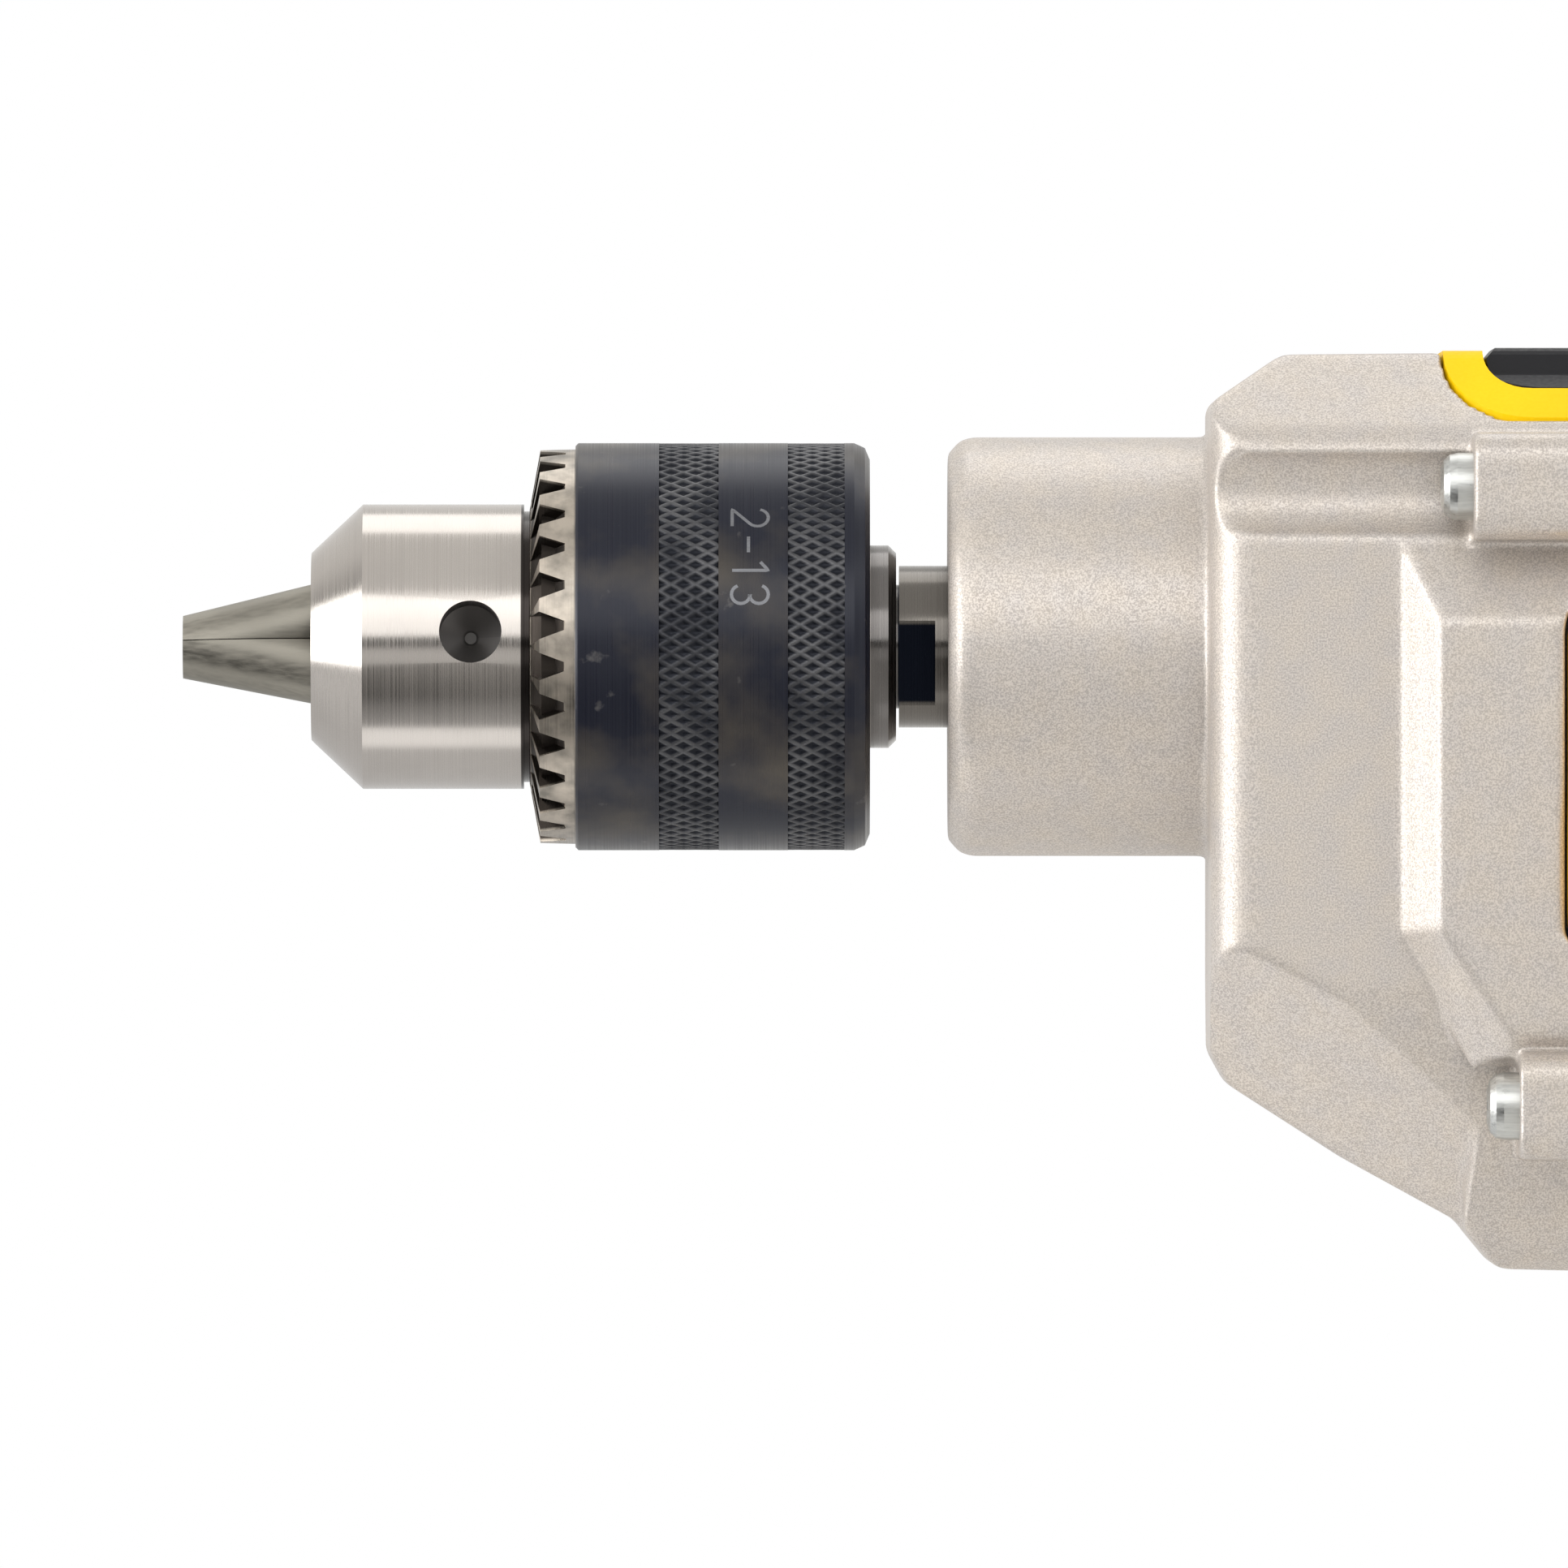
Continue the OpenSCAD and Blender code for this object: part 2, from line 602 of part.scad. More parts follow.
// Pan head screws, driven from the front into the body's lugs
screw_bite = 11;
module housing_screws() {
  color("#c2c4c6") mirrored_y() for (z = [screw_z_top, -screw_z_low]) {
    x = seat_x(z);
    translate([x, screw_y, z]) rotate([0, 90, 0]) difference() {
      union() {
        translate([0, 0, -3.3]) rotate_extrude() polygon([[0, 0], [1.8, 0], [2.7, 0.3],
          [3.25, 0.9], [3.45, 1.7], [3.45, 3.3], [0, 3.3]]);
        cylinder(h = housing_len - x + screw_bite, r = 2);
      }
      for (a = [0, 90]) rotate([0, 0, a]) translate([-1.9, -0.4, -3.8]) cube([3.8, 0.8, 2.4]);
    }
  }
}

// Notch in the side that takes the nose of the body shell
notch_x = 36;
notch_gap = 0.25;
function notch_outline(d) = rounded([[notch_x + d, 5.2 - d, 3.5], [housing_len + 6, 5.2 - d, 0],
  [housing_len + 6, -32.7 + d, 0], [notch_x + 2.6 + d, -32.7 + d, 0.6],
  [notch_x + d, -29.5 + d, 0.6]], 4);
module side_notch() {
  translate([0, 60, 0]) rotate([90, 0, 0]) linear_extrude(60 - housing_half_w + 0.6)
    polygon(notch_outline(0));
}

module bracket_seat(shrink) {
  front_plate(rounded([[-16 + shrink, 14 - shrink, 3], [16 - shrink, 14 - shrink, 3],
    [24 - shrink, motor_z + 8, 6], [20 - shrink, motor_z - 20 + shrink, 8],
    [-20 + shrink, motor_z - 20 + shrink, 8], [-24 + shrink, motor_z + 8, 6]]),
    bracket_x, bracket_len);
}

// Plate that holds the rear spindle bush and the front motor bearing
module rear_bracket() {
  color("#a7a9ab") difference() {
    bracket_seat(run);
    tube_x(bracket_x - eps, bracket_len + 2 * eps, bush_r);
    tube_x(bracket_x - eps, rear_bearing_len + eps, bearing_608_r, 0, motor_z);
    tube_x(bracket_x, bracket_len + eps, shaft_r + 1.5, 0, motor_z);
  }
}

module stator_core() {
  color("#6d6f72") difference() {
    tube_x(stack_x, stack_len, stator_r, armature_r + air_gap, motor_z);
    // Two winding windows between the poles
    translate([stack_x - eps, 0, motor_z]) rotate([90, 0, 90]) linear_extrude(stack_len + 2 * eps)
      for (side = [0, 180]) rotate([0, 0, side]) coil_window(0);
    for (side = [-1, 1]) translate([stack_x - eps, -6, motor_z + side * (stator_r + 2) - 3])
      cube([stack_len + 2 * eps, 12, 6]);
  }
}

// Half-moon window of the field coil, left and right of the poles
module coil_window(inset) {
  inner = armature_r + air_gap - 1 + (inset > 0 ? 1 + inset + 0.5 : 0);
  outer = stator_r - 5 - inset;
  span = 52 - inset * 2;
  polygon(concat(
    [for (i = [0:10]) let (a = -span + 2 * span * i / 10) outer * [cos(a), sin(a)]],
    [for (i = [0:10]) let (a = span - 2 * span * i / 10) inner * [cos(a), sin(a)]]));
}

// Two field coils: their sides fill the windows, their ends close in a ring at each face
module field_coils() {
  ring_outer = stator_r - 5.8;
  ring_inner = armature_r + air_gap + 1.4;
  color("#a4572a") {
    translate([stack_x - coil_over, 0, motor_z]) rotate([90, 0, 90])
      linear_extrude(stack_len + 2 * coil_over)
      for (side = [0, 180]) rotate([0, 0, side]) coil_window(0.35);
    for (x = [stack_x - coil_over + 0.5, stack_x + stack_len + 1.5])
      tube_x(x, coil_over - 2, ring_outer, ring_inner, motor_z);
  }
}

module armature_core() {
  slots = 12;
  color("#77797c") translate([stack_x, 0, motor_z]) rotate([90, 0, 90])
    linear_extrude(stack_len) difference() {
      circle(armature_r);
      circle(shaft_r);
      for (i = [0:slots - 1]) rotate([0, 0, (i + 0.5) * 360 / slots]) armature_slot(0);
    }
}

module armature_slot(inset) {
  polygon([[9 + inset, -0.9], [11 + inset, inset - 2.2], [17.5 - inset, inset - 3.4],
    [armature_r - 1.6 - inset, -0.9], [armature_r + 1 - inset * 3, -0.9],
    [armature_r + 1 - inset * 3, 0.9], [armature_r - 1.6 - inset, 0.9],
    [17.5 - inset, 3.4 - inset], [11 + inset, 2.2 - inset], [9 + inset, 0.9]]);
}

module armature_coils() {
  slots = 12;
  color("#b4622c") {
    for (i = [0:slots - 1]) translate([stack_x - 1, 0, motor_z])
      rotate([90, 0, 90]) linear_extrude(stack_len + 2)
      rotate([0, 0, (i + 0.5) * 360 / slots]) polygon([[11.3, -1.6], [17, -2.6], [17, 2.6],
        [11.3, 1.6]]);
    for (front = [true, false]) turned(front
      ? [[stack_x - 1, shaft_r + 3.5], [stack_x - 1, 18.6], [stack_x - 4, 18.6],
         [stack_x - 6.5, 16], [stack_x - 6.5, shaft_r + 3.5]]
      : [[stack_x + stack_len + 1, shaft_r + 3.5], [stack_x + stack_len + 1, 18.6],
         [stack_x + stack_len + 4, 18.6], [stack_x + stack_len + 6.5, 16],
         [stack_x + stack_len + 6.5, shaft_r + 3.5]], motor_z);
  }
}

module commutator() {
  bars = 24;
  color("#b87333") difference() {
    turned([[commutator_x - 2, shaft_r], [commutator_x - 2, commutator_r + 1.5],
      [commutator_x, commutator_r + 1.5], [commutator_x, commutator_r],
      [commutator_x + commutator_len, commutator_r], [commutator_x + commutator_len, shaft_r]],
      motor_z);
    for (i = [0:bars - 1]) translate([0, 0, motor_z]) rotate([i * 360 / bars, 0, 0])
      translate([commutator_x + 0.5, -0.25, commutator_r - 0.8]) cube([commutator_len, 0.5, 2]);
  }
}

module cooling_fan() {
  color("#2f3133") {
    difference() {
      union() {
        tube_x(fan_x, 1.8, fan_r, 0, motor_z);
        tube_x(fan_x, 11, 8, 0, motor_z);
      }
      tube_x(fan_x - eps, 12, shaft_r, 0, motor_z);
    }
    for (i = [0:fan_blades - 1]) translate([0, 0, motor_z]) rotate([i * 360 / fan_blades, 0, 0])
      translate([fan_x + 1.79, -0.8, 14.2]) rotate([12, 0, 0]) cube([9, 1.6, fan_r - 16]);
  }
}

// Ring that leads the fan's air out through the side openings
module air_baffle() {
  color("#35373a") turned([[fan_x + 13, 26], [fan_x + 13, barrel_r - shell_wall - run],
    [fan_x + 18, barrel_r - shell_wall - run], [fan_x + 18, barrel_r - shell_wall - 2.5],
    [fan_x + 15, barrel_r - shell_wall - 2.5], [fan_x + 15, 26]], motor_z);
}

module bearing_boot() {
  color("#1f1f20") turned([[rear_bearing_x, bearing_608_r],
    [rear_bearing_x, bearing_608_r + 1.5], [rear_bearing_x + rear_bearing_len + 3,
    bearing_608_r + 1.5], [rear_bearing_x + rear_bearing_len + 3, 5],
    [rear_bearing_x + rear_bearing_len + 1.5, 5],
    [rear_bearing_x + rear_bearing_len + 1.5, 9],
    [rear_bearing_x + rear_bearing_len, 9], [rear_bearing_x + rear_bearing_len, bearing_608_r]],
    motor_z);
}

brush_w = 6.3;
brush_h = 8;
brush_len = 13;
brush_mid_x = commutator_x + commutator_len / 2;
module brush_holders() {
  color("#c9a44c") mirrored_y() translate([brush_mid_x, 0, motor_z]) difference() {
    union() {
      translate([-brush_w / 2 - 1, commutator_r + 2, -brush_h / 2 - 1])
        cube([brush_w + 2, 21, brush_h + 2]);
      translate([-brush_w / 2 - 4, commutator_r + 7, -brush_h / 2 - 1])
        cube([brush_w + 8, 2, brush_h + 2]);
    }
    translate([-brush_w / 2 - 0.1, commutator_r + 1, -brush_h / 2 - 0.1])
      cube([brush_w + 0.2, 20.5, brush_h + 0.2]);
  }
}

module carbon_brushes() {
  color("#3a3a3c") mirrored_y() translate([brush_mid_x, 0, motor_z]) difference() {
    translate([-brush_w / 2, commutator_r - 1.5, -brush_h / 2]) cube([brush_w, brush_len, brush_h]);
    translate([-brush_w, 0, 0]) rotate([0, 90, 0]) cylinder(h = 2 * brush_w, r = commutator_r + 0.1);
  }
}

module brush_springs() {
  y0 = commutator_r - 1.5 + brush_len;
  y1 = commutator_r + 21.5;
  wire = 0.35;
  sides = 5;
  steps = 60;
  turns = 5;
  ring = [for (i = [0:steps]) let (a = 360 * turns * i / steps, t = i / steps)
    for (k = [0:sides - 1]) let (b = 360 * k / sides, r = 2.3 + wire * cos(b))
      [r * cos(a), y0 + wire + (y1 - y0 - 2 * wire) * t + wire * sin(b), r * sin(a)]];
  color("#9da0a3") mirrored_y() translate([brush_mid_x, 0, motor_z])
    polyhedron(ring, tube_faces(steps, sides));
}

// Faces of a tube with capped ends: rings of `sides` points, `steps` stretches
function tube_faces(steps, sides) = concat(
  [[for (k = [sides - 1:-1:0]) k]],
  [[for (k = [0:sides - 1]) steps * sides + k]],
  [for (i = [0:steps - 1]) for (k = [0:sides - 1]) for (f = [0, 1])
    let (k2 = (k + 1) % sides, a = i * sides + k, b = i * sides + k2)
    f == 0 ? [a, b, a + sides] : [b, b + sides, a + sides]]);

// Side outline of the body and grip
function body_outline() = rounded([[body_x, housing_top, 0], [body_x + 38, housing_top - 0.6, 40],
  [body_x + 100, 22, 60], [body_end_x - 18, 12, 16], [body_end_x - 5, -20, 30],
  [body_end_x + 2, -70, 40], [body_end_x + 11, -120, 60], [body_end_x + 17, 14 - grip_bottom, 10],
  [body_end_x + 15, -grip_bottom, 6], [body_end_x - 29, -grip_bottom, 7],
  [body_end_x - 31, 14 - grip_bottom, 10], [body_end_x - 33, -132, 40],
  [body_end_x - 43, trigger_z - 20, 10], [body_end_x - 43, trigger_z + 16, 5],
  [body_end_x - 52, -housing_bottom, 4],
  [body_x, -housing_bottom, 0]], 4);

// Front outline of the barrel, the roof and the grip, drawn as Y and Z
module body_front(inset) {
  translate([0, motor_z]) circle(barrel_r - inset);
  polygon(rounded([[-30 + inset, 0, 0], [-30 + inset, 21 - inset * 0.5, 5],
    [-18, housing_top - inset, 4], [18, housing_top - inset, 4],
    [30 - inset, 21 - inset * 0.5, 5], [30 - inset, 0, 0]], 4));
  polygon([[-grip_half_w + inset, motor_z - 20], [grip_half_w - inset, motor_z - 20],
    [grip_half_w - inset, -grip_bottom - 5], [-grip_half_w + inset, -grip_bottom - 5]]);
}

// Top outline: the barrel's sides draw in towards the grip
function body_top(inset) = rounded([[body_x - 1, -60, 0], [body_x + 86, -60, 0],
  [body_x + 86, -barrel_r + inset, 10], [body_x + 112, 3.6 - barrel_r + inset, 30],
  [body_end_x - 6, -24 + inset, 16], [body_end_x + 30, -grip_half_w - 2 + inset, 0],
  [body_end_x + 30, grip_half_w + 2 - inset, 0], [body_end_x - 6, 24 - inset, 16],
  [body_x + 112, barrel_r - 3.6 - inset, 30], [body_x + 86, barrel_r - inset, 10], [body_x + 86, 60, 0],
  [body_x - 1, 60, 0]], 5);

module body_form(inset) {
  intersection() {
    translate([0, 70, 0]) rotate([90, 0, 0]) linear_extrude(140) offset(delta = -inset)
      polygon(body_outline());
    translate([body_x - 1, 0, 0]) rotate([90, 0, 90]) linear_extrude(200) body_front(inset);
    translate([0, 0, -200]) linear_extrude(300) polygon(body_top(inset));
  }
}

// Places of the body screws, as X and Z
body_screw_at = [[body_x + 32, 21.5], [body_x + 78, 20], [body_end_x - 18, -2],
  [body_x + 97, -56], [body_end_x - 6, -61], [body_end_x - 29, -124],
  [body_end_x + 7, -134], [body_end_x - 20, -148]];
body_head_y = 12;

// Everything inside the shells that holds the motor, the switch and the screws
module body_cavity() {
  tube_x(body_x - 1, 8, barrel_r - shell_wall - 1, 0, motor_z);
  difference() {
    body_form(shell_wall);
    // Rings that hold the stator
    for (x = [stack_x + 4, stack_x + stack_len - 8]) difference() {
      tube_x(x, 4, barrel_r, stator_r + run, motor_z);
      translate([x - 1, -60, 20]) cube([6, 120, 30]);
    }
    // Wall that holds the rear bearing in its boot
    difference() {
      translate([rear_bearing_x + 1, -60, motor_z - 20]) cube([5, 120, 80]);
      tube_x(rear_bearing_x, 8, bearing_608_r + 1.5, 0, motor_z);
    }
    // Walls beside the brush holders
    for (x = [brush_mid_x - brush_w / 2 - 3.2, brush_mid_x + brush_w / 2 + 1.2])
      for (side = [-1, 1]) translate([x, side > 0 ? commutator_r + 10 : -60, motor_z - 9])
        cube([2, 60 - commutator_r - 10, 18]);
    // Floor under the selector
    translate([body_x, -60, 22 - shell_wall]) cube([24, 120, 40]);
    // Screw bosses
    for (p = body_screw_at) translate([p[0], 60, p[1]]) rotate([90, 0, 0])
      cylinder(h = 120, r = 4.2);
    switch_shelf();
    inlet_hoods();
    // Seat of the gland and the cord clamp
    translate([gland_x - 13, -30, -grip_bottom]) cube([26, 60, 8]);
    for (side = [-1, 1]) translate([gland_x + side * 10, 0, clamp_z]) rotate([90, 0, 0])
      cylinder(h = 60, r = 3.2);
    translate([gland_x - 12, -40, clamp_z - 3]) cube([24, 40 - 9.4, 6]);
  }
}
clamp_z = 20 - grip_bottom;

// Hoods behind the air inlets, open to the front and the back; they keep fingers off the motor
module inlet_hoods() {
  mirrored_y() translate([brush_mid_x + 8, 24, motor_z - 16]) difference() {
    cube([29, 30, 32]);
    translate([-1, 2, 2]) cube([31, 40, 28]);
  }
}

// Ledges above and below the switch
module switch_shelf() {
  for (z = [trigger_z + 16.5, trigger_z - 23]) translate([switch_x + 4, -40, z]) cube([20, 80, 2.4]);
}

// Holes through the shells that both halves share
module body_holes() {
  // Selector well
  translate([0, 0, 22]) linear_extrude(60) well_outline(0);
  // Trigger window
  translate([trigger_x, -trigger_half_w - gap, trigger_z - trigger_half_h - gap])
    cube([24, 2 * (trigger_half_w + gap), 2 * (trigger_half_h + gap)]);
  // Slots for the direction lever
  lever_slot = lever_reach * sin(lever_swing) + 4.8;
  translate([lever_x - lever_slot, -60, lever_z - 3.2]) cube([2 * lever_slot, 120, 6.4]);
  // Cord gland
  translate([gland_x, 0, -grip_bottom - 1]) cylinder(h = 12, r = 8);
  translate([gland_x, 0, 2 - grip_bottom]) cylinder(h = 3, r = 10);
  // Air outlets beside the fan and inlets beside the brushes
  mirrored_y() {
    for (i = [0:5]) translate([fan_x + 1, 25, motor_z - 16 + i * 6.4]) cube([9, 40, 3]);
    for (i = [0:5]) translate([brush_mid_x + 9 + i * 5, 15, motor_z - 12])
      cube([2.6, 50, 24]);
  }
}

module well_outline(d) {
  polygon(rounded([[23.7 + d, -27.4 + d, 9], [74 - d, -27.4 + d, 9], [74 - d, 27.4 - d, 9],
    [23.7 + d, 27.4 - d, 9]], 9));
}

module grip_zone(inset) {
  translate([0, 70, 0]) rotate([90, 0, 0]) linear_extrude(140) offset(delta = -inset)
    polygon(rounded([[body_end_x - 37, -112, 8], [body_end_x - 12, -84, 14],
      [body_end_x - 12, -20, 10], [body_end_x + 30, -12, 0], [body_end_x + 40, 10 - grip_bottom, 0],
      [body_end_x - 50, 10 - grip_bottom, 0], [body_end_x - 50, -112, 0]], 5));
}

// The plastic core under the soft grip
module grip_core() {
  intersection() {
    translate([0, grip_core_half_w, 0]) rotate([90, 0, 0]) linear_extrude(2 * grip_core_half_w)
      offset(delta = -grip_skin) polygon(body_outline());
    body_form(grip_skin);
  }
}

module half_space(side) {
  translate([0, side > 0 ? 0 : -100, -300]) cube([400, 100, 500]);
}

// Lug behind a boss of the gear housing, with a sloping back; it takes the housing screw
lug_len = 16;
module shell_lug(z) {
  half = 5.3;
  intersection() {
    front_plate(rounded([[20, z - half, 0], [screw_y + half + 1, z - half, 2.5],
      [screw_y + half + 1, z + half, 2.5], [20, z + half, 0]]), body_x, lug_len + 12);
    translate([0, 0, z - 20]) linear_extrude(40) polygon([[body_x - 1, 20],
      [body_x - 1, 60], [body_x + lug_len, 60], [body_x + lug_len, screw_y + half + 1],
      [body_x + lug_len + 12, 27], [body_x + lug_len + 12, 20]]);
  }
}

module shell(side) {
  difference() {
    union() {
      difference() {
        body_form(0);
        grip_zone(0);
      }
      intersection() {
        grip_core();
        grip_zone(-0.01);
      }
      mirrored_y() for (z = [screw_z_top, -screw_z_low]) shell_lug(z);
    }
    body_cavity();
    body_holes();
    mirrored_y() for (z = [screw_z_top, -screw_z_low])
      translate([body_x - 1, screw_y, z]) rotate([0, 90, 0]) cylinder(h = lug_len - 2, r = 2);
    half_space(-side);
    for (p = body_screw_at) translate([p[0], 0, p[1]]) rotate([-90, 0, 0]) {
      if (side > 0) {
        translate([0, 0, -1]) cylinder(h = 60, r = 1.5 + run);
        translate([0, 0, body_head_y]) cylinder(h = 60, r = 3.6);
      }
      else translate([0, 0, -body_head_y]) cylinder(h = 30, r = 1.5);
    }
    for (end = [-1, 1]) translate([gland_x + end * 10, 1, clamp_z]) rotate([90, 0, 0])
      cylinder(h = 8, r = 1.45);
    if (side < 0) translate([lock_x, -60, trigger_z]) rotate([-90, 0, 0])
      cylinder(h = 60, r = 4.5 + run);
  }
}

// The nose of the shell that lies in the gear housing's notch; its root reaches into the shell
module shell_nose() {
  root = 3;
  under = 0.3;
  intersection() {
    union() {
      side_pad();
      turned([[housing_len - 14, 0], [housing_len - 14, barrel_r - 6 - under],
        [housing_len - 3, barrel_r - under], [housing_len + root, barrel_r - under],
        [housing_len + root, 0]], motor_z);
    }
    translate([0, 60, 0]) rotate([90, 0, 0]) linear_extrude(60 - housing_half_w - 0.8)
      polygon(notch_outline(notch_gap));
  }
}

module body_left() {
  color("#f6c21c") union() {
    shell(-1);
    mirror([0, 1, 0]) shell_nose();
  }
}

module body_right() {
  color("#f6c21c") union() {
    shell(1);
    shell_nose();
  }
}

module grip_side(side) {
  color("#1d1e20") difference() {
    intersection() {
      body_form(0);
      grip_zone(0.15);
    }
    grip_core();
    half_space(-side);
    if (side > 0) for (p = body_screw_at) translate([p[0], 0, p[1]]) rotate([-90, 0, 0])
      cylinder(h = 60, r = 3.6);
  }
}

module grip_left() {
  grip_side(-1);
}

module grip_right() {
  grip_side(1);
}

module body_screws() {
  color("#3b3d3f") for (p = body_screw_at) translate([p[0], 0, p[1]]) rotate([-90, 0, 0])
    difference() {
      union() {
        translate([0, 0, -9]) cylinder(h = 9 + body_head_y, r = 1.5);
        translate([0, 0, body_head_y]) rotate_extrude()
          polygon([[0, 0], [3.3, 0], [3.3, 0.9], [2.4, 2.1], [0, 2.5]]);
      }
      for (a = [0, 90]) rotate([0, 0, a]) translate([-1.7, -0.35, body_head_y + 0.9])
        cube([3.4, 0.7, 3]);
    }
}

// Frame round the selector; it fills the well's rim in the housing and in the body
module selector_bezel() {
  color("#ffde00") intersection() {
    translate([0, 0, 22]) linear_extrude(20) difference() {
      well_outline(0.15);
      offset(delta = -4.2) well_outline(0);
    }
    front_plate(housing_front(housing_half_w + 0.3), 20, 60);
  }
}

knob_x = 28.2;
knob_len = 34;
module selector_knob() {
  half = 27.4 - 4.2 - gap;
  color("#16181c") intersection() {
    translate([0, 0, 22 + gap]) linear_extrude(20)
      polygon(rounded([[knob_x, -half, 6], [knob_x + knob_len, -half, 5],
        [knob_x + knob_len, half, 5], [knob_x, half, 6]], 8));
    front_plate(rounded([[-half, 0, 0], [-half, 26.4, 0], [-half + 3.5, housing_top - 2.6, 1],
      [-half + 6, housing_top + 0.3, 2], [half - 6, housing_top + 0.3, 2],
      [half - 3.5, housing_top - 2.6, 1], [half, 26.4, 0], [half, 0, 0]], 3), 20, 60);
    side_plate([[knob_x, 0], [knob_x, housing_top - 0.9], [knob_x + 1, housing_top + 0.3],
      [knob_x + knob_len - 1, housing_top + 0.3], [knob_x + knob_len, 28],
      [knob_x + knob_len, 0]], 40);
  }
}

fork_x = 28;
module selector_fork() {
  color("#8e9194") {
    translate([fork_x, -5, 9.5]) cube([2.5, 10, 22 + gap - 9.5]);
    translate([gear_x + gear_width + hammer_travel + gap, -5, 9.5])
      cube([fork_x - gear_x - gear_width - hammer_travel - gap, 10, 3.5]);
  }
}

module roof_slot() {
  translate([fork_x - gap, -5 - gap, 8]) cube([2.5 + mode_travel + 2 * gap, 10 + 2 * gap, 20]);
}

trigger_depth = 13;
stem_len = 12;
switch_x = trigger_x + trigger_depth + trigger_travel + 1;
switch_len = 28;
stem_z = 4;
// Trigger with a scooped front, a dial seat and a stem that enters the switch
module trigger() {
  color("#1b1c1e") difference() {
    union() {
      intersection() {
        side_plate(rounded([[trigger_x + 1.5, trigger_z + trigger_half_h, 3],
          [trigger_x + trigger_depth, trigger_z + trigger_half_h, 0],
          [trigger_x + trigger_depth, trigger_z - trigger_half_h, 0],
          [trigger_x, trigger_z - trigger_half_h, 2],
          [trigger_x + 4, trigger_z - 3, 20]], 6), trigger_half_w);
        translate([0, 0, trigger_z - 30]) linear_extrude(60) polygon(rounded([
          [trigger_x, -trigger_half_w, 5], [trigger_x + 20, -trigger_half_w, 0],
          [trigger_x + 20, trigger_half_w, 0], [trigger_x, trigger_half_w, 5]], 5));
      }
      translate([trigger_x + trigger_depth - 1, -4, trigger_z - stem_z])
        cube([stem_len + 1, 8, 2 * stem_z]);
    }
    translate([dial_x - gap, 0, dial_z]) rotate([0, 90, 0]) cylinder(h = 4 + 2 * gap, r = dial_r + gap);
    translate([dial_x, 0, dial_z]) rotate([0, 90, 0]) cylinder(h = 7, r = 2 + run);
  }
}

dial_r = 6.5;
dial_x = trigger_x + 2.2;
dial_z = trigger_z + 5;
// Knurled wheel in the trigger that sets the top speed
module speed_dial() {
  ridges = 24;
  color("#2b2c2f") difference() {
    union() {
      translate([dial_x, 0, dial_z]) rotate([0, 90, 0]) cylinder(h = 4, r = dial_r);
      translate([dial_x + 3.9, 0, dial_z]) rotate([0, 90, 0]) cylinder(h = 2.6, r = 2);
    }
    for (i = [0:ridges - 1]) translate([dial_x - 1, 0, dial_z]) rotate([i * 360 / ridges, 0, 0])
      translate([0, -0.3, dial_r - 0.5]) cube([6, 0.6, 2]);
  }
}

module trigger_switch() {
  half = grip_core_half_w - shell_wall - 1;
  color("#303234") difference() {
    translate([switch_x, -half, trigger_z - 20.4]) cube([switch_len, 2 * half, 36.7]);
    translate([switch_x - 1, -4 - gap, trigger_z - stem_z - gap])
      cube([stem_len + 1, 8 + 2 * gap, 2 * (stem_z + gap)]);
  }
}

lock_x = body_end_x - 26;
module lock_button() {
  color("#1b1c1e") {
    translate([lock_x, -grip_half_w - lock_travel - 1.2, trigger_z]) rotate([-90, 0, 0])
      cylinder(h = lock_travel + 2, r = 4.5);
  }
}

// Lever across the body above the trigger, pivoted in the middle
module direction_lever() {
  half = lever_reach;
  color("#1b1c1e") {
    translate([lever_x, 0, lever_z - 2.8]) cylinder(h = 5.6, r = 12.5);
    translate([lever_x - 2.6, -half, lever_z - 2.2]) cube([5.2, 2 * half, 4.4]);
    for (side = [-1, 1]) translate([lever_x - 4, side * (half - 1.5) - 1.5, lever_z - 2.8])
      cube([8, 3, 5.6]);
  }
}

module cord_gland() {
  color("#18191a") translate([gland_x, 0, 0]) rotate_extrude() polygon([
    [cord_hole_r, -grip_bottom - 4], [7.4, -grip_bottom - 4], [8.6, -grip_bottom - 2.6],
    [8.6, -grip_bottom], [7.95, -grip_bottom], [7.95, 2 - grip_bottom], [9.95, 2 - grip_bottom],
    [9.95, 5 - grip_bottom], [7.95, 5 - grip_bottom], [7.95, 11 - grip_bottom],
    [cord_hole_r, 11 - grip_bottom]]);
}

// Bar that presses the cord against its bed
module cord_clamp() {
  color("#232427") difference() {
    translate([gland_x - 13, 0, clamp_z - 3.5]) cube([26, 3, 7]);
    translate([gland_x, -2, clamp_z - 5]) cylinder(h = 10, r = 3.4);
    for (side = [-1, 1]) translate([gland_x + side * 10, -1, clamp_z]) rotate([-90, 0, 0])
      cylinder(h = 10, r = 1.45 + run);
  }
}

module clamp_screws() {
  color("#9a9c9e") for (side = [-1, 1]) translate([gland_x + side * 10, 0, clamp_z])
    rotate([-90, 0, 0]) {
      translate([0, 0, -6]) cylinder(h = 9, r = 1.45);
      translate([0, 0, 3]) cylinder(h = 1.8, r = 2.7);
    }
}

module capacitor() {
  color("#c8b23a") translate([switch_x + 8, -6, trigger_z - 38]) cube([18, 12, 14]);
}

